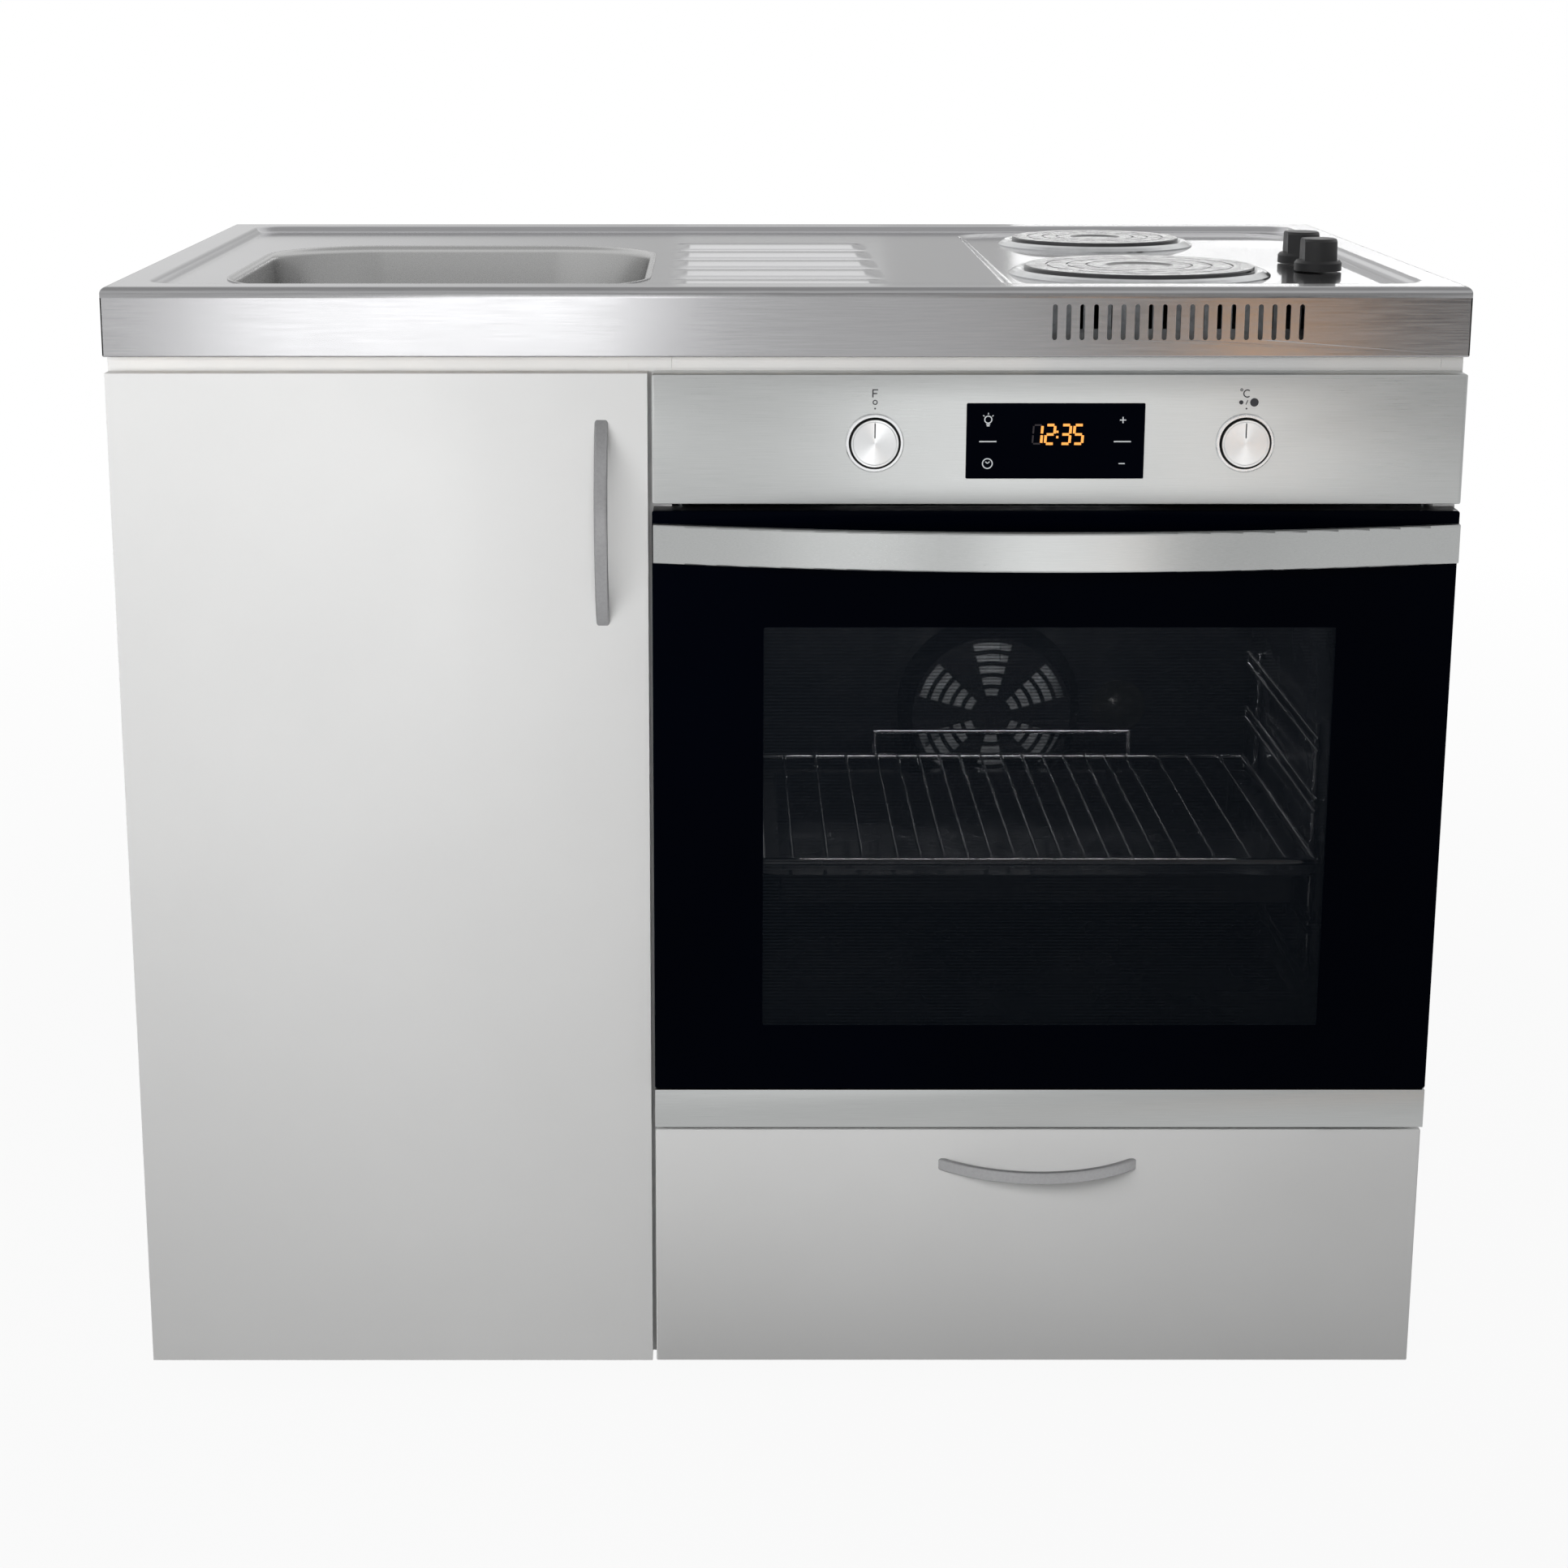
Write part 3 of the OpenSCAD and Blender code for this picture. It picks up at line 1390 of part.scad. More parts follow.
// Hinge brackets on the housing's floor: each has a lug that reaches forward to the door's pin
module oven_hinge_brackets() color(zinc)
    for (x = lug_x) {
        floor_z = shelf_top + shell_t;
        box([x - 12, y_plate + 2, floor_z], [x + 12, y_plate + 44, floor_z + 3]);
        difference() {
            union() {
                box([x - lug_t / 2, axis_y, axis_z - lug_r], [x + lug_t / 2, y_plate + 40, axis_z + lug_r]);
                box([x - lug_t / 2, y_plate + 4, floor_z], [x + lug_t / 2, y_plate + 40, axis_z + lug_r]);
                rod_x(lug_r, x - lug_t / 2, x + lug_t / 2, axis_y, axis_z);
            }
            rod_x(door_pin_r + fit, x - lug_t, x + lug_t, axis_y, axis_z);
        }
    }

stile_y0 = y_oven + glass_t;
inner_glass_w = cavity_w + 26;
inner_glass_h = cavity_h + 26;
window_x = oven_x - 2;
window_z = cavity_z0 + 11 + window_h / 2;

// Door frame behind the outer pane, with a rebate for the inner pane and slots for the lugs
module oven_door_frame() color(black)
    difference() {
        union() {
            box([front_x0 + 1, stile_y0, oven_z0 + shell_t], [front_x1 - 1, door_y1, oven_door_top]);
            for (x = lug_x)
                rod_x(door_pin_r, x - lug_t, x + lug_t, axis_y, axis_z);
        }
        translate([oven_x, 0, cavity_z])
            facing_front(stile_y0 - 1)
                linear_extrude(30)
                    rounded_rect(inner_glass_w - 20, inner_glass_h - 20, 10);
        translate([oven_x, 0, cavity_z])
            facing_front(door_y1 - glass_t)
                linear_extrude(30)
                    rounded_rect(inner_glass_w, inner_glass_h, 12);
        for (x = lug_x)
            difference() {
                box([x - lug_t / 2 - lug_gap, stile_y0 - 1, oven_z0 - 1],
                    [x + lug_t / 2 + lug_gap, door_y1 + 1, oven_z0 + slot_h]);
                rod_x(door_pin_r, x - lug_t, x + lug_t, axis_y, axis_z);
            }
        translate([0, door_y1, oven_z0 + shell_t])
            rotate([45, 0, 0])
                cube([3 * unit_w, 5, 5], center = true);
    }

pane_gap = 1;      // between the outer pane and the trim below it

module oven_outer_glass() color(black)
    translate([(front_x0 + front_x1) / 2, 0, (oven_z0 + trim_h + pane_gap + oven_door_top) / 2])
        facing_front(y_oven)
            linear_extrude(glass_t)
                rounded_rect(front_x1 - front_x0, oven_door_top - oven_z0 - trim_h - pane_gap, 2);

module oven_inner_glass() color("#3a3f44")
    translate([oven_x, 0, cavity_z])
        facing_front(door_y1 - glass_t)
            linear_extrude(glass_t)
                rounded_rect(inner_glass_w - 1, inner_glass_h - 1, 12);

// Steel trim at the door's foot: a face with a return below the frame
module oven_door_trim() color(steel)
    difference() {
        box([front_x0, y_oven, oven_z0], [front_x1, door_y1 - 4, oven_z0 + trim_h]);
        box([front_x0 - 1, y_oven + glass_t, oven_z0 + shell_t], [front_x1 + 1, door_y1, oven_z0 + trim_h + 1]);
        for (x = lug_x)
            box([x - lug_t / 2 - lug_gap, axis_y - lug_r - 1, oven_z0 - 1],
                [x + lug_t / 2 + lug_gap, door_y1, oven_z0 + slot_h]);
    }

band_z = oven_door_top - 9 - band_h / 2;
band_inset = 1;

// Bowed handle: a wide band that springs from the door's face at both ends
module oven_handle() color(steel) {
    half_w = (front_x1 - front_x0) / 2 - band_inset;
    r = (half_w * half_w + band_bow * band_bow) / (2 * band_bow);
    half = asin(half_w / r);
    translate([(front_x0 + front_x1) / 2, y_oven + r - band_bow, band_z])
        intersection() {
            rotate_extrude(angle = 2 * half + 1, start = 270 - half - 0.5, $fn = 720)
                translate([r + band_t / 2, 0])
                    rounded_rect(band_t, band_h, 1.5);
            translate([-half_w, -r - band_bow, -band_h])
                cube([2 * half_w, band_bow + r - (r - band_bow), 2 * band_h]);
        }
}

outer_side_panels();
sink_side_panel();
oven_side_panel();
bottom_panels();
oven_shelf();
back_panels();
front_rails();
rear_rails();
levelling_feet();
cupboard_shelf();
shelf_pins();
carcass_screws();
worktop_sheet();
sink_bowl();
worktop_battens();
hob_tray();
hotplate_front();
hotplate_rear();
hotplate_rims();
hob_switches();
hob_knob_front();
hob_knob_rear();
waste_flange();
strainer_plug();
bottle_trap();
overflow_pipe();
hinge_arms();
hinge_leaves();
cupboard_door();
door_handle();
drawer_front();
drawer_walls();
drawer_bottom();
drawer_handle();
runners_fixed();
runners_moving();
oven_housing();
oven_cavity();
oven_seal();
control_panel();
display_glass();
knob_bezels();
function_knob();
temperature_knob();
function_knob_stem();
temperature_knob_stem();
side_racks();
wire_shelf();
baking_tray();
fan_guard();
convection_fan();
fan_motor();
oven_lamp();
grill_element();
oven_hinge_brackets();
oven_door_frame();
oven_outer_glass();
oven_inner_glass();
oven_handle();
oven_door_trim();
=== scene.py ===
import json
import math
import bmesh
import bpy
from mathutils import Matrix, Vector
from mathutils.geometry import delaunay_2d_cdt

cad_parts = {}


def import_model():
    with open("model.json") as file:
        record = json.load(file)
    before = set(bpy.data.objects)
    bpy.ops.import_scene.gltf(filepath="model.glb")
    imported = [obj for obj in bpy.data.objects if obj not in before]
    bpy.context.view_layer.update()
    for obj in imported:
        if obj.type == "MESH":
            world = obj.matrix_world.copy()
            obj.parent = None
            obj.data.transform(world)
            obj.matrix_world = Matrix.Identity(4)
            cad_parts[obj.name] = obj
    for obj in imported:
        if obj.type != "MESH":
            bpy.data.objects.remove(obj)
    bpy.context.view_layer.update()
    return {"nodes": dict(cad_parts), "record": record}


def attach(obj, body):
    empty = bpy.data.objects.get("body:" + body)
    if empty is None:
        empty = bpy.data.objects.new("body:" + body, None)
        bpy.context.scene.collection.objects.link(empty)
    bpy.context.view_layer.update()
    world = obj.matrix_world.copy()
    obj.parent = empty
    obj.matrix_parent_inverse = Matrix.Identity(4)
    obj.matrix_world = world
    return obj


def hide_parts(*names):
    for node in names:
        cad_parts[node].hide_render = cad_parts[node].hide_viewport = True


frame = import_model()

# The imported CAD pieces by node name, and the record of their material slots
nodes = frame["nodes"]
scene = bpy.context.scene
MM = 0.001

# ---------------------------------------------------------------- sizes shared with the CAD source, in mm

# The worktop: its rim, the field inside the rim, the hob's recess and the folded edge
X_LEFT, X_RIGHT = -500.0, 500.0
Y_FRONT, Y_BACK = -275.0, 325.0
FIELD_Y = 25.0                      # middle of the worktop from front to back
Z_TOP = 819.0                       # top of the carcass, where the folded edge ends
RIM_Z, FIELD_Z, HOB_Z = 870.0, 865.0, 863.0
RIM_W, STEP = 30.0, 9.0             # width of the rim, and of the slope down to the field
FIELD_R, FIELD_GROW = 26.0, 6.0     # the field's corner, and how much wider than the rim's inside it is
SHEET_T = 1.2
EDGE = 5.0                          # radius of the roll at the edge
APRON_LOW, APRON_TOP = Z_TOP + 1.0, 862.0
APRON_R = 1.2
VENTS = dict(x0=196.0, z=844.5, pitch=10.0, w=3.6, h=26.0, count=19)

# The sink and the drainer
BOWL = dict(x=-264.0, y=-51.0, w=316.0, d=360.0, r=85.0, floor=715.0)
BOWL_ROLL = 5.0                     # radius of the rolled mouth
BOWL_DRAFT, BOWL_FILLET = 13.0, 26.0
BOWL_WALL = 1.0
MOUTH = (BOWL["w"] + 2 * BOWL_ROLL, BOWL["d"] + 2 * BOWL_ROLL, BOWL["r"] + BOWL_ROLL)
WASTE_D = 78.0
DRAINER = dict(x=-5.0, y=-35.0, length=166.0, pitch=82.0, groove=12.0, count=5, height=2.2)
FLUTE_END = 14.0                    # length over which a flute rises from the field
FLUTE_CROWN = 0.8                   # below 1 a flute is fuller than a parabola

# The hob: hotplates as x, y and radius, switches as x and y
HOB = dict(x=314.0, w=296.0, d=504.0, r=44.0)
HOB_SLOPE = 7.0
PLATES = [(282.0, -95.0, 90.0), (282.0, 180.0, 72.5)]
PLATE_GAP = 1.5
SWITCHES = [(427.0, -75.0), (427.0, -5.0)]
SWITCH_HOLE_R = 4.0

# The oven's front: its plane, the outer pane and the control panel, with the knobs as x and z
Y_OVEN = -280.0
FRONT_X0, FRONT_X1 = -98.5, 498.5
GLASS_Z0, GLASS_Z1 = 252.0, 706.0
GLASS_T, GLASS_R, GLASS_BEVEL = 4.0, 2.0, 0.5
WINDOW = dict(x=198.0, z=461.0, w=427.0, h=314.0)
WINDOW_FIT = 0.02                   # room between the window and its printed border
PANEL = dict(x=200.0, z=759.0, w=597.0, h=96.0, r=1.5)
PANEL_T, PANEL_DEPTH, PANEL_ROLL = 1.5, 23.0, 0.8
DISPLAY = dict(x=198.0, z=758.0, w=131.0, h=56.0)
KNOBS = [(65.4, 756.5), (337.4, 756.5)]
KNOB_R, KNOB_PROUD = 18.6, 3.4
KNOB_HOLE_R = KNOB_R + 1.85

# Mesh settings
SHARP = math.radians(35.0)          # edges over this angle stay sharp
QUARTER = [math.radians(15 * i) for i in range(7)]    # a quarter turn in steps of 15 degrees
BOWL_STEPS = 14                     # steps in each corner of the bowl's rings, which have to match
PRINT_T = 0.06


# ---------------------------------------------------------------- node helpers

class Shader:
    """A Principled material with short names for the nodes that shape it."""

    def __init__(self, name, colour, roughness, metallic=0.0, **constants):
        self.mat = bpy.data.materials.new(name)
        self.mat.use_nodes = True
        self.tree = self.mat.node_tree
        self.bsdf = self.tree.nodes["Principled BSDF"]
        self.colour = colour
        self.set("Base Color", (*colour, 1.0))
        self.set("Roughness", roughness)
        self.set("Metallic", metallic)
        for key, value in constants.items():
            self.set(key.replace("_", " "), value)
        self.mat.diffuse_color = (*colour, 1.0)
        self.coords = self.tree.nodes.new("ShaderNodeTexCoord")
        self.last_bump = None

    def set(self, socket, value):
        self.bsdf.inputs[socket].default_value = value

    def node(self, kind, **values):
        n = self.tree.nodes.new(kind)
        for key, value in values.items():
            if hasattr(n, key):
                setattr(n, key, value)
            else:
                n.inputs[key.replace("_", " ")].default_value = value
        return n

    def link(self, a, b):
        self.tree.links.new(a, b)

    def place(self, scale=(1, 1, 1), offset=(0, 0, 0)):
        """The object's own coordinates in metres, scaled and shifted."""
        m = self.node("ShaderNodeMapping")
        m.inputs["Scale"].default_value = scale
        m.inputs["Location"].default_value = offset
        self.link(self.coords.outputs["Object"], m.inputs["Vector"])
        return m.outputs["Vector"]

    def noise(self, scale, stretch=(1, 1, 1), detail=4.0, roughness=0.55):
        n = self.node("ShaderNodeTexNoise", Scale=scale, Detail=detail, Roughness=roughness)
        self.link(self.place(stretch), n.inputs["Vector"])
        return n.outputs["Fac"]

    def voronoi(self, scale, output="Color"):
        n = self.node("ShaderNodeTexVoronoi", Scale=scale)
        self.link(self.place(), n.inputs["Vector"])
        return n.outputs[output]

    def spread(self, fac, low, high, lo_pos=0.3, hi_pos=0.7):
        """Maps fac from lo_pos..hi_pos to low..high."""
        n = self.node("ShaderNodeMapRange")
        for key, value in (("From Min", lo_pos), ("From Max", hi_pos), ("To Min", low), ("To Max", high)):
            n.inputs[key].default_value = value
        self.link(fac, n.inputs["Value"])
        return n.outputs["Result"]

    def math(self, operation, a, b=None):
        """A Math node on sockets or plain numbers."""
        n = self.node("ShaderNodeMath", operation=operation)
        for socket, value in zip(n.inputs, (a, b)):
            if value is None:
                continue
            if isinstance(value, (int, float)):
                socket.default_value = value
            else:
                self.link(value, socket)
        return n.outputs[0]

    def tint(self, fac, dark, light, lo_pos=0.3, hi_pos=0.7):
        """Colours the surface between its colour times dark and its colour times light."""
        r = self.node("ShaderNodeValToRGB")
        r.color_ramp.elements[0].position = lo_pos
        r.color_ramp.elements[1].position = hi_pos
        r.color_ramp.elements[0].color = (*[c * k for c, k in zip(self.colour, three(dark))], 1)
        r.color_ramp.elements[1].color = (*[min(1, c * k) for c, k in zip(self.colour, three(light))], 1)
        self.link(fac, r.inputs["Fac"])
        self.link(r.outputs["Color"], self.bsdf.inputs["Base Color"])

    def rough(self, fac, low, high, lo_pos=0.3, hi_pos=0.7):
        """Roughness between low and high."""
        self.link(self.spread(fac, low, high, lo_pos, hi_pos), self.bsdf.inputs["Roughness"])

    def bump(self, height, distance, strength):
        """Adds a bump of distance metres on top of those before it."""
        n = self.node("ShaderNodeBump", Strength=strength, Distance=distance)
        self.link(height, n.inputs["Height"])
        if self.last_bump is not None:
            self.link(self.last_bump, n.inputs["Normal"])
        self.last_bump = n.outputs["Normal"]
        self.link(self.last_bump, self.bsdf.inputs["Normal"])


def three(value):
    """One number for all three colours, or the three as they are."""
    return (value, value, value) if isinstance(value, (int, float)) else value


# ---------------------------------------------------------------- materials

def laminate(name="white laminate", colour=(0.80, 0.80, 0.795)):
    s = Shader(name, colour, 0.36, Specular_IOR_Level=0.4)
    s.tint(s.noise(5.0, detail=3.0), 0.975, 1.015)
    s.rough(s.noise(14.0, detail=5.0), 0.30, 0.44)
    s.bump(s.noise(900.0, detail=2.0), 0.00004, 0.5)
    s.bump(s.noise(60.0, detail=1.0), 0.00012, 0.25)
    return s.mat


def steel(name, colour, grain, rough, depth, wave=0.0, smear=0.0):
    """Brushed steel: fine scratches, which run along the direction with the smallest grain number.

    smear stretches what the steel mirrors up and down, as a plate brushed from side to side does."""
    s = Shader(name, colour, sum(rough) / 2, 1.0, Anisotropic=smear)
    if smear:
        s.link(s.node("ShaderNodeCombineXYZ", Z=1.0).outputs["Vector"], s.bsdf.inputs["Tangent"])
    fine = s.noise(1.0, stretch=grain, detail=6.0, roughness=0.65)
    broad = s.noise(3.0, detail=3.0)
    s.tint(fine, (0.93, 0.93, 0.935), (1.05, 1.05, 1.055), 0.35, 0.65)
    both = s.math("ADD", s.math("MULTIPLY", fine, 0.6), s.math("MULTIPLY", broad, 0.4))
    s.rough(both, rough[0], rough[1], 0.35, 0.65)
    s.bump(fine, depth, 0.6)
    if wave:
        s.bump(s.noise(9.0, detail=1.0), wave, 0.5)
    return s.mat


def spun(name, kx, kz):
    """A turned knob face: fine rings about its own axis, a bow-tie sheen and a painted dark ring round its
    edge, which stands in for the shaded gap between the cap and its bezel.
    """
    s = Shader(name, (0.74, 0.75, 0.755), 0.26, 1.0, Anisotropic=0.75)
    split = s.node("ShaderNodeSeparateXYZ")
    s.link(s.place(offset=(-kx * MM, 0, -kz * MM)), split.inputs["Vector"])
    square = [s.math("POWER", split.outputs[axis], 2.0) for axis in "XZ"]
    radius = s.math("SQRT", s.math("ADD", *square))
    ring_pitch = 0.0005
    rings = s.math("SINE", s.math("MULTIPLY", radius, 2 * math.pi / ring_pitch))
    # Painted shade: past this radius the cap's colour falls almost to black, standing in for the shadowed gap
    # to the bezel
    groove = s.spread(radius, 0.0, 1.0, (KNOB_R - 1.5) * MM, (KNOB_R - 1.0) * MM)
    s.tint(groove, 1.0, 0.02, 0.1, 0.9)
    s.rough(rings, 0.24, 0.30, -1.0, 1.0)
    s.bump(rings, 0.000002, 0.5)
    turn = s.node("ShaderNodeTangent", direction_type="RADIAL", axis="Y")
    s.link(turn.outputs["Tangent"], s.bsdf.inputs["Tangent"])
    return s.mat


def zinc():
    s = Shader("zinc plate", (0.52, 0.54, 0.56), 0.42, 1.0)
    grey = s.node("ShaderNodeRGBToBW")
    s.link(s.voronoi(220.0), grey.inputs["Color"])
    s.tint(grey.outputs["Val"], 0.82, 1.08, 0.2, 0.8)
    s.rough(s.noise(30.0), 0.34, 0.52)
    return s.mat


def cast_iron():
    s = Shader("cast iron", (0.030, 0.030, 0.033), 0.22, 0.0, Specular_IOR_Level=0.6)
    s.tint(s.noise(45.0, detail=6.0), 0.7, 1.5)
    s.rough(s.noise(120.0, detail=4.0), 0.11, 0.18)
    s.bump(s.noise(700.0, detail=3.0), 0.00002, 0.6)
    return s.mat


def plastic(name, colour, rough=(0.3, 0.45), grain=1200.0, depth=0.00005):
    s = Shader(name, colour, sum(rough) / 2, 0.0, Specular_IOR_Level=0.45)
    s.tint(s.noise(20.0, detail=3.0), 0.93, 1.05)
    s.rough(s.noise(90.0), rough[0], rough[1])
    s.bump(s.noise(grain, detail=2.0), depth, 0.5)
    return s.mat


def enamel():
    s = Shader("dark enamel", (0.021, 0.023, 0.027), 0.22, 0.0, Coat_Weight=0.4, Coat_Roughness=0.12)
    s.tint(s.voronoi(1800.0, output="Distance"), 1.6, 0.85, 0.0, 0.35)
    s.rough(s.noise(25.0, detail=4.0), 0.16, 0.34)
    s.bump(s.noise(160.0, detail=2.0), 0.00006, 0.4)
    return s.mat


def timber():
    s = Shader("softwood", (0.62, 0.50, 0.36), 0.6)
    rings = s.node("ShaderNodeTexWave", Scale=26.0, Distortion=6.0, Detail=3.0)
    s.link(s.place((0.25, 1, 1)), rings.inputs["Vector"])
    s.tint(rings.outputs["Fac"], 0.72, 1.12, 0.1, 0.9)
    s.bump(s.noise(300.0, stretch=(0.1, 1, 1)), 0.0001, 0.5)
    return s.mat


def black_glass():
    s = Shader("black glass", (0.0003, 0.0008, 0.0030), 0.05, 0.0, Specular_IOR_Level=0.008)
    s.rough(s.noise(7.0, detail=5.0), 0.03, 0.09)
    s.tint(s.noise(3.0), 0.8, 1.3)
    return s.mat


def window_glass():
    """Tinted glass with a fine print of level lines."""
    s = Shader("window glass", (0.0085, 0.0112, 0.0155), 0.06, 0.0, Specular_IOR_Level=0.01)
    split = s.node("ShaderNodeSeparateXYZ")
    s.link(s.coords.outputs["Object"], split.inputs["Vector"])
    line_pitch = 0.0026
    lines = s.math("SINE", s.math("MULTIPLY", split.outputs["Z"], 2 * math.pi / line_pitch))
    s.link(s.spread(lines, 0.45, 0.70, -0.6, 0.9), s.bsdf.inputs["Alpha"])
    s.tint(lines, 0.6, 1.3, 0.3, 0.9)
    return s.mat


def clear_glass():
    s = Shader("clear glass", (0.03, 0.035, 0.04), 0.04, 0.0, Alpha=0.10, Specular_IOR_Level=0.1)
    s.rough(s.noise(12.0, detail=4.0), 0.02, 0.10)
    return s.mat


def lamp_glass():
    s = Shader("lamp glass", (0.06, 0.06, 0.055), 0.12, 0.0, Alpha=0.5)
    s.rough(s.noise(60.0), 0.08, 0.2)
    return s.mat


def rubber():
    s = Shader("silicone", (0.018, 0.018, 0.019), 0.6)
    s.tint(s.noise(80.0), 0.7, 1.3)
    s.bump(s.noise(900.0), 0.00005, 0.5)
    return s.mat


def glow(name, colour, strength):
    """A lit print: its light is mostly its own."""
    s = Shader(name, tuple(c * 0.4 for c in colour), 0.4)
    s.set("Emission Color", (*colour, 1.0))
    s.set("Emission Strength", strength)
    s.tint(s.noise(500.0), 0.9, 1.05)
    return s.mat


SLOT_LOOKS = {
    "white_laminate": laminate(),
    "white_board": laminate("white board", (0.76, 0.76, 0.755)),
    "timber": timber(),
    "brushed_steel": steel("brushed steel", (0.45, 0.46, 0.455), (26.0, 2600.0, 2600.0), (0.26, 0.36),
                           0.000008, smear=0.8),
    "polished_steel": steel("bright steel", (0.62, 0.63, 0.635), (60.0, 60.0, 60.0), (0.10, 0.20), 0.00001),
    "zinc_plate": zinc(),
    "cast_iron": cast_iron(),
    "black_plastic": plastic("black plastic", (0.010, 0.010, 0.011)),
    "white_plastic": plastic("white plastic", (0.72, 0.72, 0.70), (0.25, 0.35)),
    "white_steel": plastic("white coated steel", (0.76, 0.76, 0.75), (0.3, 0.4), 500.0, 0.00008),
    "black_enamel": enamel(),
    "seal_rubber": rubber(),
    "black_glass": black_glass(),
    "clear_glass": clear_glass(),
    "satin_metal": steel("satin metal", (0.36, 0.36, 0.365), (400.0, 400.0, 400.0), (0.34, 0.46), 0.00002),
    "spun_aluminium": steel("spun aluminium", (0.72, 0.73, 0.735), (300.0, 300.0, 300.0), (0.22, 0.3),
                            0.00001),
    "chrome_wire": steel("plated wire", (0.70, 0.71, 0.73), (200.0, 200.0, 200.0), (0.08, 0.16), 0.00001),
}
WORKTOP_STEEL = steel("worktop steel", (0.47, 0.47, 0.48), (30.0, 1500.0, 1500.0), (0.09, 0.16),
                      depth=0.000002, wave=0.0002)
APRON_STEEL = steel("apron steel", (0.37, 0.37, 0.375), (30.0, 1500.0, 1500.0), (0.15, 0.23),
                    depth=0.000004, wave=0.0004, smear=0.2)
BOWL_STEEL = steel("bowl steel", (0.52, 0.52, 0.515), (700.0, 700.0, 1500.0), (0.22, 0.32),
                   depth=0.000006, wave=0.0003)
PRINT = plastic("dark print", (0.03, 0.03, 0.035), (0.4, 0.5))
ICON = glow("icon print", (0.72, 0.75, 0.78), 0.42)
CLOCK = glow("clock light", (1.0, 0.40, 0.08), 1.0)
UNLIT = plastic("unlit print", (0.012, 0.008, 0.012), (0.4, 0.5))
WINDOW_GLASS = window_glass()

slot_of = {row["node"]: row["material_slot"] for row in frame["record"]["subparts"]}
for name, obj in nodes.items():
    obj.data.materials.clear()
    obj.data.materials.append(SLOT_LOOKS[slot_of[name]])
nodes["oven_lamp"].data.materials[0] = lamp_glass()
for name, (kx, kz) in zip(("function_knob", "temperature_knob"), KNOBS):
    nodes[name].data.materials[0] = spun(name + " face", kx, kz)


# ---------------------------------------------------------------- mesh helpers

def make(name, verts, faces, look, body, smooth=True):
    """A new piece from points in mm, riding on a body."""
    mesh = bpy.data.meshes.new(name)
    mesh.from_pydata([Vector(v) * MM for v in verts], [], faces)
    mesh.validate()
    mesh.update()
    obj = bpy.data.objects.new(name, mesh)
    scene.collection.objects.link(obj)
    mesh.materials.append(look)
    if smooth:
        mesh.shade_smooth()
    if body:
        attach(obj, body)
    return obj


def tidy(obj):
    """Joins double points, turns the faces outward and keeps sharp edges sharp."""
    bm = bmesh.new()
    bm.from_mesh(obj.data)
    bmesh.ops.remove_doubles(bm, verts=bm.verts, dist=0.000002)
    bmesh.ops.recalc_face_normals(bm, faces=bm.faces)
    bm.to_mesh(obj.data)
    bm.free()
    obj.data.shade_smooth()
    obj.data.set_sharp_from_angle(angle=SHARP)
    return obj


def joined(loops):
    """The points of all the loops in one list, and the edges that close each loop."""
    points, edges = [], []
    for loop in loops:
        start = len(points)
        points += loop
        edges += [(start + i, start + (i + 1) % len(loop)) for i in range(len(loop))]
    return points, edges


def plate_faces(outline, holes):
    """The points of a flat outline and its holes, and the triangles between them."""
    points, edges = joined([outline, *holes])
    made, _, tris, origins, *_ = delaunay_2d_cdt([Vector(p) for p in points], edges, [], 1, 1e-7)
    faces = []
    for tri in tris:
        c = sum((made[i] for i in tri), Vector((0, 0))) / 3
        if not any(inside_loop(c, hole) for hole in holes):
            faces.append(tuple(origins[i][0] for i in tri))
    return points, faces


def inside_loop(p, loop):
    """Whether a point lies inside a closed loop."""
    hit = False
    for (ax, ay), (bx, by) in zip(loop, loop[1:] + loop[:1]):
        if (ay > p[1]) != (by > p[1]) and p[0] < (bx - ax) * (p[1] - ay) / (by - ay) + ax:
            hit = not hit
    return hit


def front_skin(name, loop_at, holes, y, profile, hole_depth, look, body):
    """A plate facing the front: profile gives (inset, depth) of its rim, holes get walls of hole_depth."""
    verts, faces = [], []
    first = loop_at(profile[0][0])
    flat, tris = plate_faces(first, holes)
    verts += facing(flat, y + profile[0][1])
    faces += tris
    n, start = len(first), 0
    for inset, depth in profile[1:]:
        base = len(verts)
        verts += facing(loop_at(inset), y + depth)
        faces += [(start + j, base + j, base + (j + 1) % n, start + (j + 1) % n) for j in range(n)]
        start = base
    at = n
    for hole in holes:
        base, m = len(verts), len(hole)
        verts += facing(hole, y + profile[0][1] + hole_depth)
        faces += [(at + j, base + j, base + (j + 1) % m, at + (j + 1) % m) for j in range(m)]
        at += m
    return tidy(make(name, verts, faces, look, body))


def soften(obj, width, segments=2, flat=False):
    """Small round edges, as every cut or pressed edge has.

    A board is shaded flat, because smooth shading shows false gradients round its cut-outs."""
    weld = obj.modifiers.new("weld", "WELD")
    weld.merge_threshold = 0.000005
    bevel = obj.modifiers.new("edges", "BEVEL")
    bevel.width = width * MM
    bevel.segments = segments
    bevel.limit_method = "ANGLE"
    bevel.angle_limit = SHARP
    bevel.harden_normals = not flat
    if flat:
        obj.data.shade_flat()
    else:
        obj.data.shade_smooth()


def rounded(w, d, r, steps, cx, cy):
    """A rounded rectangle as a loop of points; every loop with the same steps has as many points."""
    loop = []
    for q, (sx, sy) in enumerate(((1, 1), (-1, 1), (-1, -1), (1, -1))):
        for i in range(steps + 1):
            a = math.radians(90 * (q + i / steps))
            loop.append((cx + sx * (w / 2 - r) + r * math.cos(a),
                         cy + sy * (d / 2 - r) + r * math.sin(a)))
    return loop


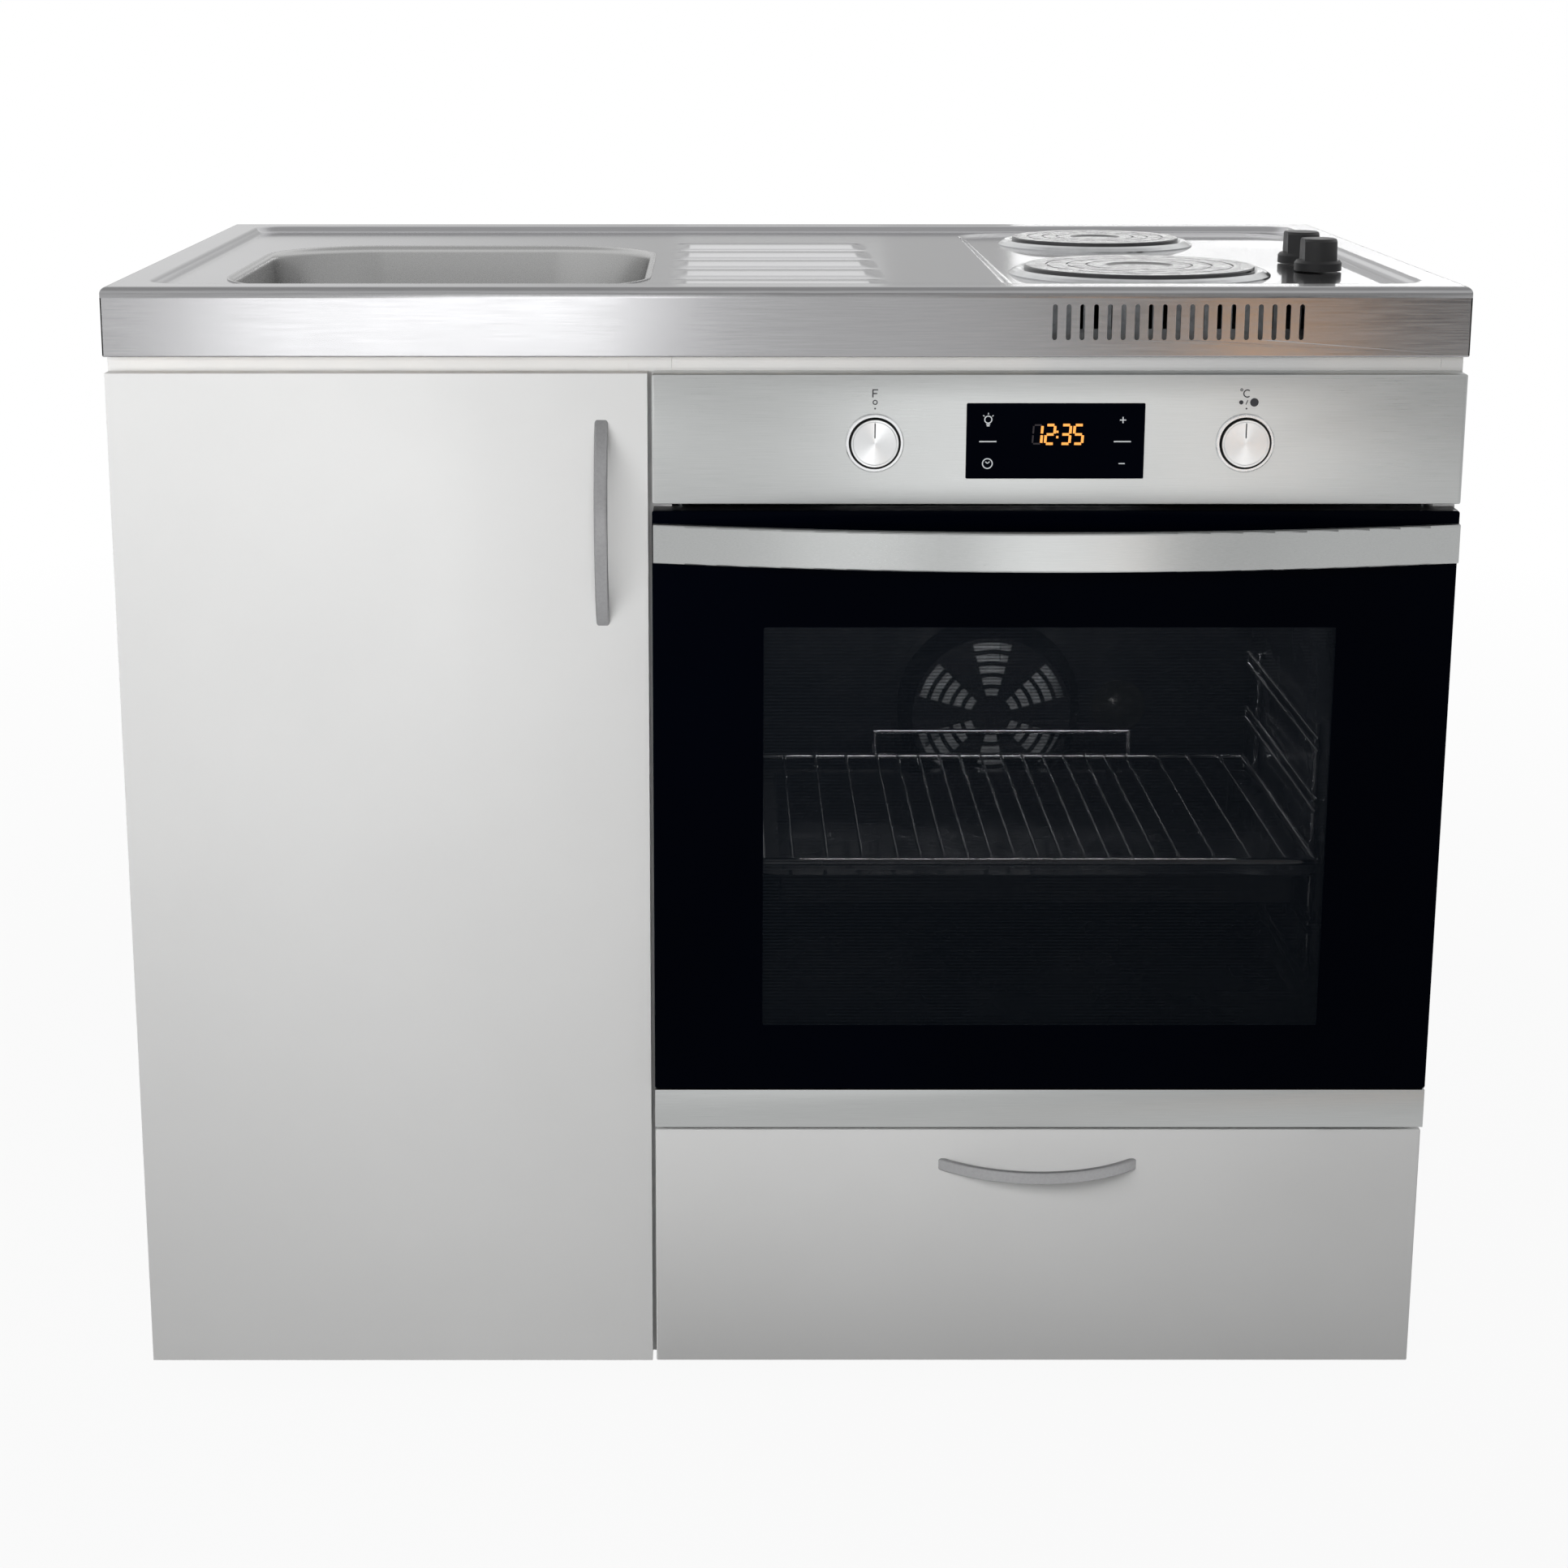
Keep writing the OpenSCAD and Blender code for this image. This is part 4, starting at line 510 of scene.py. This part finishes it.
def loft(name, rings, look, body, caps=False, closed=False):
    """Joins rings of equally many points into a skin, capped at both ends or closed on itself."""
    n = len(rings[0])
    verts = [p for ring in rings for p in ring]
    faces = []
    spans = len(rings) if closed else len(rings) - 1
    for i in range(spans):
        a, b = i * n, (i + 1) % len(rings) * n
        faces += [(a + j, a + (j + 1) % n, b + (j + 1) % n, b + j) for j in range(n)]
    if caps:
        faces.append(tuple(reversed(range(n))))
        faces.append(tuple(range((len(rings) - 1) * n, len(rings) * n)))
    return make(name, verts, faces, look, body)


def facing(loop, y):
    """A loop drawn in X and Z, set at y."""
    return [(x, y, z) for x, z in loop]


def smoothstep(t):
    """0 below 0, 1 above 1, and a smooth rise between."""
    t = min(1.0, max(0.0, t))
    return t * t * (3 - 2 * t)


def inside_rounded(x, y, cx, cy, w, d, r):
    """How far a point is inside a rounded rectangle; negative outside."""
    qx, qy = abs(x - cx) - (w / 2 - r), abs(y - cy) - (d / 2 - r)
    return r - (math.hypot(max(qx, 0), max(qy, 0)) + min(max(qx, qy), 0))


# ---------------------------------------------------------------- worktop

def spaced(lo, hi, fine_at, fine=1.6, coarse=9.0, reach=13.0, growth=0.5):
    """Grid lines from lo to hi, fine within reach of the places in fine_at and coarser away from them."""
    out, at = [lo], lo
    while at < hi:
        near = min(abs(at - f) for f in fine_at)
        at += fine if near < reach else min(coarse, fine + (near - reach) * growth)
        out.append(min(at, hi))
    if len(out) > 2 and out[-1] - out[-2] < fine / 2:
        del out[-2]
    return out


def top_height(x, y):
    """Height of the pressed sheet: a raised rim, the field, the hob recess and the drainer's flutes."""
    span_x, span_y = X_RIGHT - X_LEFT - 2 * RIM_W, Y_BACK - Y_FRONT - 2 * RIM_W
    field_w, field_d = span_x + FIELD_GROW, span_y + FIELD_GROW
    field = smoothstep(inside_rounded(x, y, 0, FIELD_Y, field_w, field_d, FIELD_R) / STEP)
    z = RIM_Z - (RIM_Z - FIELD_Z) * field
    hob = smoothstep(inside_rounded(x, y, HOB["x"], FIELD_Y, HOB["w"], HOB["d"], HOB["r"]) / HOB_SLOPE)
    z -= (FIELD_Z - HOB_Z) * hob
    along = abs(x - DRAINER["x"]) - DRAINER["length"] / 2
    end = smoothstep(-along / FLUTE_END)
    if end > 0:
        across = (y - DRAINER["y"]) / DRAINER["pitch"] + DRAINER["count"] / 2
        if 0 <= across <= DRAINER["count"]:
            half = 0.5 - DRAINER["groove"] / DRAINER["pitch"] / 2
            t = abs(across % 1.0 - 0.5) / half
            if t < 1:
                z += DRAINER["height"] * end * (1 - t * t) ** FLUTE_CROWN
    return z


def circle(cx, cy, r, n=72):
    return [(cx + r * math.cos(2 * math.pi * i / n), cy + r * math.sin(2 * math.pi * i / n))
            for i in range(n)]


WORKTOP_HOLES = [rounded(*MOUTH, BOWL_STEPS, BOWL["x"], BOWL["y"]),
                 *[circle(x, y, r + PLATE_GAP) for x, y, r in PLATES],
                 *[circle(x, y, SWITCH_HOLE_R, 24) for x, y in SWITCHES]]


def in_hole(x, y, margin=0.0):
    """Whether a point lies in one of the worktop's holes, or within margin of one."""
    if inside_rounded(x, y, BOWL["x"], BOWL["y"], *MOUTH) > -margin:
        return True
    if any(math.hypot(x - cx, y - cy) < r + PLATE_GAP + margin for cx, cy, r in PLATES):
        return True
    return any(math.hypot(x - cx, y - cy) < SWITCH_HOLE_R + margin for cx, cy in SWITCHES)


def worktop_top():
    """The pressed top with its holes, as one triangulated sheet."""
    x0, x1, y0, y1 = X_LEFT + EDGE, X_RIGHT - EDGE, Y_FRONT + EDGE, Y_BACK - EDGE
    hob_x = [HOB["x"] - HOB["w"] / 2, HOB["x"] + HOB["w"] / 2]
    hob_y = [FIELD_Y - HOB["d"] / 2, FIELD_Y + HOB["d"] / 2]
    ends = [DRAINER["x"] - DRAINER["length"] / 2, DRAINER["x"] + DRAINER["length"] / 2]
    xs = spaced(x0, x1, [X_LEFT + RIM_W, X_RIGHT - RIM_W, *hob_x, *ends])
    ys = spaced(y0, y1, [Y_FRONT + RIM_W, Y_BACK - RIM_W, *hob_y], coarse=3.2)
    outline = ([(x, y0) for x in xs[:-1]] + [(x1, y) for y in ys[:-1]]
               + [(x, y1) for x in reversed(xs[1:])] + [(x0, y) for y in reversed(ys[1:])])
    points, edges = joined([outline, *WORKTOP_HOLES])
    points += [(x, y) for x in xs[1:-1] for y in ys[1:-1] if not in_hole(x, y, margin=0.8)]
    made, _, tris, *_ = delaunay_2d_cdt([Vector(p) for p in points], edges, [], 1, 1e-6)
    verts = [(p.x, p.y, top_height(p.x, p.y)) for p in made]
    faces = []
    for tri in tris:
        cx = sum(made[i].x for i in tri) / 3
        cy = sum(made[i].y for i in tri) / 3
        if not in_hole(cx, cy):
            faces.append(tuple(tri))
    return tidy(make("worktop_top", verts, faces, WORKTOP_STEEL, "unit"))


def worktop_apron():
    """The folded edge round the worktop: a roll, an outer face, a thin bottom edge and an inner face.

    vent_band() fills the flat of its front."""
    rings = []
    w, d = X_RIGHT - X_LEFT, Y_BACK - Y_FRONT
    profile = [(EDGE - EDGE * math.sin(a), RIM_Z - EDGE * (1 - math.cos(a))) for a in QUARTER]
    profile += [(0, APRON_TOP), (0, APRON_LOW), (0.2, Z_TOP + 0.3), (0.6, Z_TOP), (SHEET_T, Z_TOP),
                (SHEET_T, APRON_LOW), (SHEET_T, APRON_TOP)]
    for inset, z in profile:
        rings.append([(x, y, z) for x, y in rounded(w - 2 * inset, d - 2 * inset, APRON_R, 4, 0, FIELD_Y)])
    n = len(rings[0])
    verts = [p for ring in rings for p in ring]
    faces = []
    for i in range(len(rings) - 1):
        for j in range(n):
            quad = (i * n + j, i * n + (j + 1) % n, (i + 1) * n + (j + 1) % n, (i + 1) * n + j)
            on_front = all(verts[k][1] < Y_FRONT + SHEET_T + 0.1 for k in quad)
            flat = {rings[i][0][2], rings[i + 1][0][2]} == {APRON_LOW, APRON_TOP}
            if not (on_front and flat):
                faces.append(quad)
    return tidy(make("worktop_apron", verts, faces, APRON_STEEL, "unit"))


def vent_band():
    """The front of the apron with its vent slots, each with its own thickness."""
    half = (X_RIGHT - X_LEFT) / 2 - APRON_R
    low, high = APRON_LOW, APRON_TOP
    outline = [(half, high), (-half, high), (-half, low), (half, low)]
    centres = [VENTS["x0"] + i * VENTS["pitch"] for i in range(VENTS["count"])]
    slots = [rounded(VENTS["w"], VENTS["h"], VENTS["w"] / 2 - 0.001, 6, x, VENTS["z"]) for x in centres]
    return front_skin("worktop_vents", lambda inset: outline, slots, Y_FRONT, [(0, 0)], SHEET_T,
                      APRON_STEEL, "unit")


for piece in (worktop_top(), worktop_apron(), vent_band()):
    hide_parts("worktop_sheet")


def sink_bowl():
    """One drawn bowl: a rolled mouth, sides drawn in, a round floor edge and a flat floor to the waste."""
    rings = []
    wall_top = FIELD_Z - BOWL_ROLL

    def add(w, d, r, z):
        rings.append([(x, y, z) for x, y in rounded(w, d, r, BOWL_STEPS, BOWL["x"], BOWL["y"])])

    def ring(inset, z, r):
        add(BOWL["w"] - 2 * inset, BOWL["d"] - 2 * inset, r, z)

    for a in QUARTER:
        inset = -BOWL_ROLL + BOWL_ROLL * math.sin(a)
        ring(inset, FIELD_Z - BOWL_ROLL * (1 - math.cos(a)), BOWL["r"] - inset)
    for t in (0.15, 0.35, 0.6, 0.85, 1.0):
        ring(BOWL_DRAFT * t, wall_top - t * (wall_top - BOWL["floor"] - BOWL_FILLET),
             BOWL["r"] - BOWL_DRAFT * t / 2)
    for i in range(1, 8):
        a = math.radians(90 * i / 7)
        ring(BOWL_DRAFT + BOWL_FILLET * (1 - math.cos(a)), BOWL["floor"] + BOWL_FILLET * (1 - math.sin(a)),
             BOWL["r"] - BOWL_DRAFT / 2 - BOWL_FILLET * (1 - math.cos(a)) / 2)
    drawn_in = 2 * (BOWL_DRAFT + BOWL_FILLET)
    w0, d0 = BOWL["w"] - drawn_in, BOWL["d"] - drawn_in
    r0 = BOWL["r"] - BOWL_DRAFT / 2 - BOWL_FILLET / 2
    for t in (0.25, 0.5, 0.75, 1.0):
        w, d = w0 + (WASTE_D - w0) * t, d0 + (WASTE_D - d0) * t
        add(w, d, min(r0 + (WASTE_D / 2 - r0) * t, w / 2, d / 2), BOWL["floor"] + 0.2)
    obj = loft("sink_bowl_skin", rings, BOWL_STEEL, "unit")
    obj.data.flip_normals()
    thick = obj.modifiers.new("wall", "SOLIDIFY")
    thick.thickness = BOWL_WALL * MM
    thick.offset = -1.0
    return obj


bowl = sink_bowl()
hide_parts("sink_bowl")

# ---------------------------------------------------------------- oven door glass

def glass_border():
    """The printed border of the outer pane, round the window."""
    w, h = FRONT_X1 - FRONT_X0, GLASS_Z1 - GLASS_Z0
    cx, cz = (FRONT_X0 + FRONT_X1) / 2, (GLASS_Z0 + GLASS_Z1) / 2
    outer = [(GLASS_BEVEL, 0.0), (0.0, GLASS_BEVEL), (0.0, GLASS_T - GLASS_BEVEL), (GLASS_BEVEL, GLASS_T)]
    rings = [facing(rounded(w - 2 * i, h - 2 * i, GLASS_R - i, 4, cx, cz), Y_OVEN + y) for i, y in outer]
    opening = rounded(WINDOW["w"], WINDOW["h"], GLASS_R, 4, WINDOW["x"], WINDOW["z"])
    rings += [facing(opening, Y_OVEN + y) for y in (GLASS_T, 0.0)]
    return loft("oven_glass_border", rings, SLOT_LOOKS["black_glass"], "oven_door",
                closed=True)


def glass_window():
    """The middle of the outer pane, which can be seen through."""
    w, h = WINDOW["w"] - WINDOW_FIT, WINDOW["h"] - WINDOW_FIT
    loop = rounded(w, h, GLASS_R, 4, WINDOW["x"], WINDOW["z"])
    rings = [facing(loop, Y_OVEN + y) for y in (0.0, GLASS_T)]
    return loft("oven_glass_window", rings, WINDOW_GLASS, "oven_door", caps=True)


for piece in (glass_border(), glass_window()):
    tidy(piece)
    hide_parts("oven_outer_glass")

# ---------------------------------------------------------------- control panel

def panel_loop(inset):
    return rounded(PANEL["w"] - 2 * inset, PANEL["h"] - 2 * inset, PANEL["r"], 4, PANEL["x"], PANEL["z"])


cutouts = [rounded(DISPLAY["w"], DISPLAY["h"], 1.0, 3, DISPLAY["x"], DISPLAY["z"])]
cutouts += [circle(x, z, KNOB_HOLE_R, 64) for x, z in KNOBS]
roll = [(PANEL_ROLL - PANEL_ROLL * math.sin(a), PANEL_ROLL - PANEL_ROLL * math.cos(a))
        for a in [math.radians(degrees) for degrees in (0, 30, 60, 90)]]
fold = [(0.0, PANEL_DEPTH), (PANEL_T, PANEL_DEPTH), (PANEL_T, PANEL_T)]
panel = front_skin("control_panel_skin", panel_loop, cutouts, Y_OVEN, [*roll, *fold], PANEL_T,
                   SLOT_LOOKS["brushed_steel"], "unit")
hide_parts("control_panel")


# ---------------------------------------------------------------- prints on the oven's panel

def ribbon_print(name, strokes, look, y, body="unit"):
    """Thin raised prints in the plane of the panel: each stroke is (points, width)."""
    verts, faces = [], []
    for points, width in strokes:
        left, right = [], []
        closed = points[0] == points[-1] and len(points) > 2
        for i, (px, pz) in enumerate(points):
            a = points[max(i - 1, 0)] if not (closed and i == 0) else points[-2]
            b = points[min(i + 1, len(points) - 1)] if not (closed and i == len(points) - 1) else points[1]
            d = Vector((b[0] - a[0], b[1] - a[1])).normalized()
            nx, nz = -d.y * width / 2, d.x * width / 2
            left.append((px + nx, pz + nz))
            right.append((px - nx, pz - nz))
        start, n = len(verts), len(points)
        for at in (y - PRINT_T, y):
            verts += facing(left, at) + facing(right, at)
        k = 2 * n
        for i in range(n - 1):
            l0, l1, r0, r1 = start + i, start + i + 1, start + n + i, start + n + i + 1
            faces += [(l0, r0, r1, l1), (l0 + k, l1 + k, r1 + k, r0 + k),
                      (l0, l1, l1 + k, l0 + k), (r0, r0 + k, r1 + k, r1)]
        for i in (0, n - 1):
            faces.append((start + i, start + n + i, start + 3 * n + i, start + 2 * n + i))
    return make(name, verts, faces, look, body, smooth=False)


def line(x0, z0, x1, z1, width):
    return ((x0, z0), (x1, z1)), width


def arc(cx, cz, r, a0=0.0, a1=360.0, n=24):
    return [(cx + r * math.cos(math.radians(a0 + (a1 - a0) * i / n)),
             cz + r * math.sin(math.radians(a0 + (a1 - a0) * i / n))) for i in range(n + 1)]


def ring_stroke(cx, cz, r, width, n=24):
    """A full circle, closed exactly."""
    loop = arc(cx, cz, r, n=n)
    loop[-1] = loop[0]
    return loop, width


# The seven bars of a digit, from corner to corner of a cell one wide and two high, and the digits' bars
SEGMENTS = {
    "a": ((0.1, 2), (0.9, 2)), "b": ((1, 1.9), (1, 1.1)), "c": ((1, 0.9), (1, 0.1)),
    "d": ((0.1, 0), (0.9, 0)), "e": ((0, 0.1), (0, 0.9)), "f": ((0, 1.1), (0, 1.9)),
    "g": ((0.1, 1), (0.9, 1)),
}
DIGITS = {"1": "bc", "2": "abged", "3": "abgcd", "5": "afgcd"}
CELL_W, CELL_H, LEAN = 6.4, 6.9, 0.06
DIGIT_STEP, COLON_STEP = 9.3, 2.2
LIT_W, UNLIT_W = 1.9, 1.2


def segment(char_x, z0, key):
    return tuple((char_x + p[0] * CELL_W + LEAN * p[1] * CELL_H, z0 + p[1] * CELL_H) for p in SEGMENTS[key])


def clock_digits():
    """The lit digits, and the unlit bars beside the first of them."""
    x, z0 = DISPLAY["x"] - 16.8, DISPLAY["z"] - 2.0
    unlit = [(segment(x, z0, key), UNLIT_W) for key in "adef"]
    strokes = []
    for c in "12:35":
        if c == ":":
            strokes += [line(x - 1.2, z0 + dz, x + 0.4, z0 + dz, 1.7) for dz in (4.9, 8.8)]
            x += COLON_STEP
            continue
        strokes += [(segment(x, z0, key), LIT_W) for key in DIGITS[c]]
        x += DIGIT_STEP
    ribbon_print("clock_digits", strokes, CLOCK, Y_OVEN)
    ribbon_print("clock_unlit", unlit, UNLIT, Y_OVEN)


def display_icons():
    """A lamp, a clock, a plus, a minus and two level lines beside the digits."""
    x, z = DISPLAY["x"], DISPLAY["z"]
    left, right = x - 49.5, x + 49.3
    s = [ring_stroke(left, z + 15.8, 2.6, 0.8),
         line(left - 1.4, z + 12.2, left + 1.4, z + 12.2, 0.8),
         line(left - 1.0, z + 11.2, left + 1.0, z + 11.2, 0.8)]
    for a in (40, 90, 140):
        c, n = math.cos(math.radians(a)), math.sin(math.radians(a))
        s.append(line(left + 3.7 * c, z + 15.8 + 3.7 * n, left + 5.0 * c, z + 15.8 + 5.0 * n, 0.6))
    s += [line(at - 6.3, z - 0.4, at + 6.3, z - 0.4, 0.9) for at in (left, right)]
    s += [ring_stroke(left, z - 16.7, 3.6, 0.8),
          line(left - 1.5, z - 15.4, left, z - 16.6, 0.7),
          line(left, z - 16.6, left + 1.6, z - 15.3, 0.7)]
    s += [line(right - 2.3, z + dz, right + 2.3, z + dz, 0.8) for dz in (15.5, -16.7)]
    s.append(line(right, z + 13.2, right, z + 17.8, 0.8))
    ribbon_print("display_icons", s, ICON, Y_OVEN)


def panel_marks():
    """The generic marks above the two oven knobs: a letter and a zero, a degree sign and two dots."""
    x, z = KNOBS[0]
    s = [line(x - 1.7, z + 33.6, x - 1.7, z + 39.4, 0.95),
         line(x - 2.1, z + 39.2, x + 2.1, z + 39.2, 0.9),
         line(x - 1.8, z + 36.5, x + 1.5, z + 36.5, 0.9),
         ring_stroke(x, z + 30.0, 1.5, 0.8),
         ring_stroke(x, z + 25.4, 0.35, 0.7, 8)]
    x, z = KNOBS[1]
    s += [(arc(x + 0.2, z + 36.5, 2.6, 50, 310), 0.9),
          ring_stroke(x - 4.0, z + 39.2, 0.8, 0.6),
          ring_stroke(x - 4.0, z + 30.0, 0.8, 1.6, 12),
          ring_stroke(x + 5.6, z + 30.0, 1.6, 3.2, 14),
          line(x - 0.6, z + 28.4, x + 0.8, z + 31.6, 0.7),
          ring_stroke(x, z + 25.4, 0.35, 0.7, 8)]
    ribbon_print("panel_marks", s, PRINT, Y_OVEN)


clock_digits()
display_icons()
panel_marks()

for body, (kx, kz) in zip(("function_cap", "temperature_cap"), KNOBS):
    index = line(kx, kz + 4.0, kx, kz + KNOB_R - 3.6, 0.9)
    ribbon_print(body + "_index", [index], PRINT, Y_OVEN - KNOB_PROUD, body)

# ---------------------------------------------------------------- softened edges on the CAD pieces

BOARDS = ("outer_side_panels", "sink_side_panel", "oven_side_panel", "bottom_panels", "oven_shelf",
          "cupboard_shelf", "front_rails", "rear_rails", "back_panels", "drawer_walls", "drawer_bottom",
          "worktop_battens")
for name in BOARDS:
    soften(nodes[name], 0.4, 1, flat=True)
for name in ("cupboard_door", "drawer_front"):
    soften(nodes[name], 1.0, 3)
soften(nodes["oven_door_trim"], 0.4, 2)

# ---------------------------------------------------------------- studio

SQUARE = ((-1, -1), (1, -1), (1, 1), (-1, 1))


def floor():
    """A grey floor that takes the object's shadow; the camera, mirrors and glass see it nearly white."""
    s = Shader("studio floor", (0.32, 0.32, 0.32), 0.9)
    s.set("Specular IOR Level", 0.0)
    light = s.node("ShaderNodeEmission", Strength=1.0)
    light.inputs["Color"].default_value = (1, 1, 1, 1)
    path = s.node("ShaderNodeLightPath")
    seen = s.math("MAXIMUM", s.math("MAXIMUM", path.outputs["Is Camera Ray"], path.outputs["Is Glossy Ray"]),
                  path.outputs["Is Transmission Ray"])
    mix = s.node("ShaderNodeMixShader")
    split = s.node("ShaderNodeSeparateXYZ")
    s.link(s.coords.outputs["Object"], split.inputs["Vector"])
    far = s.math("SQRT", s.math("ADD", *[s.math("POWER", split.outputs[axis], 2.0) for axis in "XY"]))
    white = s.spread(far, 0.94, 1.0, lo_pos=1.0, hi_pos=3.5)
    s.link(s.math("MULTIPLY", seen, white), mix.inputs["Fac"])
    s.link(s.bsdf.outputs["BSDF"], mix.inputs[1])
    s.link(light.outputs["Emission"], mix.inputs[2])
    s.link(mix.outputs["Shader"], s.tree.nodes["Material Output"].inputs["Surface"])
    reach, z = 30000.0, -0.5
    corners = [(sx * reach, sy * reach, z) for sx, sy in SQUARE]
    obj = make("studio_floor", corners, [(0, 1, 2, 3)], s.mat, None, smooth=False)


def world():
    """White behind the object, a softer sky for what the metal mirrors low down, and an even fill."""
    w = bpy.data.worlds.new("studio")
    w.use_nodes = True
    tree = w.node_tree

    def node(kind, **values):
        n = tree.nodes.new(kind)
        for key, value in values.items():
            setattr(n, key, value)
        return n

    def blend(fac, start, end, low, high):
        """From low to high as fac goes from start to end."""
        n = node("ShaderNodeMapRange", interpolation_type="SMOOTHSTEP")
        n.inputs["From Min"].default_value = start
        n.inputs["From Max"].default_value = end
        tree.links.new(fac, n.inputs["Value"])
        for key, value in (("To Min", low), ("To Max", high)):
            if isinstance(value, (int, float)):
                n.inputs[key].default_value = value
            else:
                tree.links.new(value, n.inputs[key])
        return n.outputs["Result"]

    back = tree.nodes["Background"]
    back.inputs["Color"].default_value = (1, 1, 1, 1)
    path = node("ShaderNodeLightPath")
    coords = node("ShaderNodeTexCoord")
    split = node("ShaderNodeSeparateXYZ")
    tree.links.new(coords.outputs["Generated"], split.inputs["Vector"])
    side, up = split.outputs["X"], split.outputs["Z"]
    low = blend(side, -0.20, 0.02, 0.78, 0.50)
    sky = blend(up, 0.12, 0.42, low, 0.95)
    sky = blend(up, 0.62, 0.90, sky, 0.60)
    fill = blend(path.outputs["Is Glossy Ray"], 0, 1, 0.20, sky)
    seen = node("ShaderNodeMath", operation="MAXIMUM")
    tree.links.new(path.outputs["Is Camera Ray"], seen.inputs[0])
    tree.links.new(path.outputs["Is Transmission Ray"], seen.inputs[1])
    tree.links.new(blend(seen.outputs[0], 0, 1, fill, 1.0), back.inputs["Strength"])
    scene.world = w


def area(name, place, aim, size, power, colour=(1, 1, 1), lights=True, mirrored=True, only=()):
    """A soft lamp: it lights surfaces, or is mirrored in them, or both; only names the pieces it reaches."""
    data = bpy.data.lights.new(name, "AREA")
    data.shape = "RECTANGLE"
    data.size, data.size_y = size
    data.energy = power
    data.color = colour
    obj = bpy.data.objects.new(name, data)
    obj.location = place
    obj.rotation_euler = (Vector(aim) - Vector(place)).to_track_quat("-Z", "Y").to_euler()
    obj.visible_camera = False
    obj.visible_diffuse = lights
    obj.visible_glossy = mirrored
    if only:
        reached = bpy.data.collections.new(name + " reaches")
        for piece in only:
            reached.objects.link(piece)
        obj.light_linking.receiver_collection = reached
    scene.collection.objects.link(obj)


def dark_card(name, x, y, z, width, height):
    """A black card that only mirrors see, as a studio stands one beside a lamp; its place is in metres."""
    corners = [(x + sx * width / 2, y, z + sz * height / 2) for sx, sz in SQUARE]
    card = make(name, [[c / MM for c in p] for p in corners], [(0, 1, 2, 3)],
                plastic(name + " black", (0.02, 0.02, 0.02)), None, smooth=False)
    card.visible_camera = card.visible_diffuse = card.visible_shadow = card.visible_transmission = False


def camera():
    """The photo's viewing angle: from in front, a little above the worktop, looking down."""
    pitch_down = 0.2364
    data = bpy.data.cameras.new("camera")
    data.sensor_width = 36.0
    data.lens = 66.0
    data.shift_x, data.shift_y = 0.0418, -0.06
    data.dof.use_dof = False
    data.clip_start, data.clip_end = 0.05, 100
    obj = bpy.data.objects.new("camera", data)
    obj.location = (-0.0493, -2.375, 1.0747)
    obj.rotation_euler = (math.pi / 2 - pitch_down, 0, 0)
    scene.collection.objects.link(obj)
    scene.camera = obj


floor()
world()
camera()

# Lamps that light the object without being mirrored in it: name, place, aim, size in metres, power in watts
area("key", (-0.60, -1.45, 0.90), (-0.20, -0.27, 0.88), (1.6, 0.5), 15.2, mirrored=False)
area("top", (0.2, 0.6, 2.6), (0.0, 0.0, 0.8), (1.6, 0.8), 10.0, mirrored=False)
for side, name in ((-1, "left_side"), (1, "right_side")):
    area(name, (side * 2.4, 0.7, 1.0), (side * 0.5, 0.1, 0.45), (0.9, 0.9), 14.0, mirrored=False)
area("back", (0.0, 2.6, 1.1), (0.0, 0.33, 0.45), (1.2, 0.9), 16.0, mirrored=False)

# Lamps that are only mirrored: the bright patches on the worktop, its apron, the panel and the knobs
area("window", (-0.60, -3.5, 0.53), (-0.3, -0.3, 0.84), (0.80, 0.28), 2.8, lights=False)
area("panel_glow", (0.62, -3.5, 0.15), (0.15, -0.3, 0.70), (0.92, 0.26), 5.2, lights=False,
     only=(panel, nodes["oven_handle"]))
area("knob_glow", (0.60, -3.5, 0.15), (0.15, -0.3, 0.70), (0.60, 0.30), 1.0, lights=False,
     only=[nodes[name] for name in ("function_knob", "temperature_knob", "knob_bezels")])
area("warm_glow", (0.96, -3.5, 0.45), (0.35, -0.3, 0.84), (0.20, 0.14), 0.34, (1.0, 0.50, 0.18), lights=False)
area("back_window", (0.13, 6.0, 2.05), (0.0, 0.0, 0.87), (0.60, 1.1), 0.8, lights=False)
area("back_strip", (1.55, 6.0, 1.42), (0.3, 0.0, 0.87), (1.5, 0.09), 1.6, lights=False)

# The oven's inside
area("cavity", (0.2, -0.20, 0.60), (0.2, 0.10, 0.42), (0.36, 0.05), 1.0)
area("fan_glow", (0.192, 0.098, 0.457), (0.192, 0.12, 0.457), (0.12, 0.12), 0.025)

# A card that the steel of the front mirrors
dark_card("card_front", 1.27, -3.52, 0.55, 1.34, 0.34)

scene.view_settings.view_transform = "Standard"
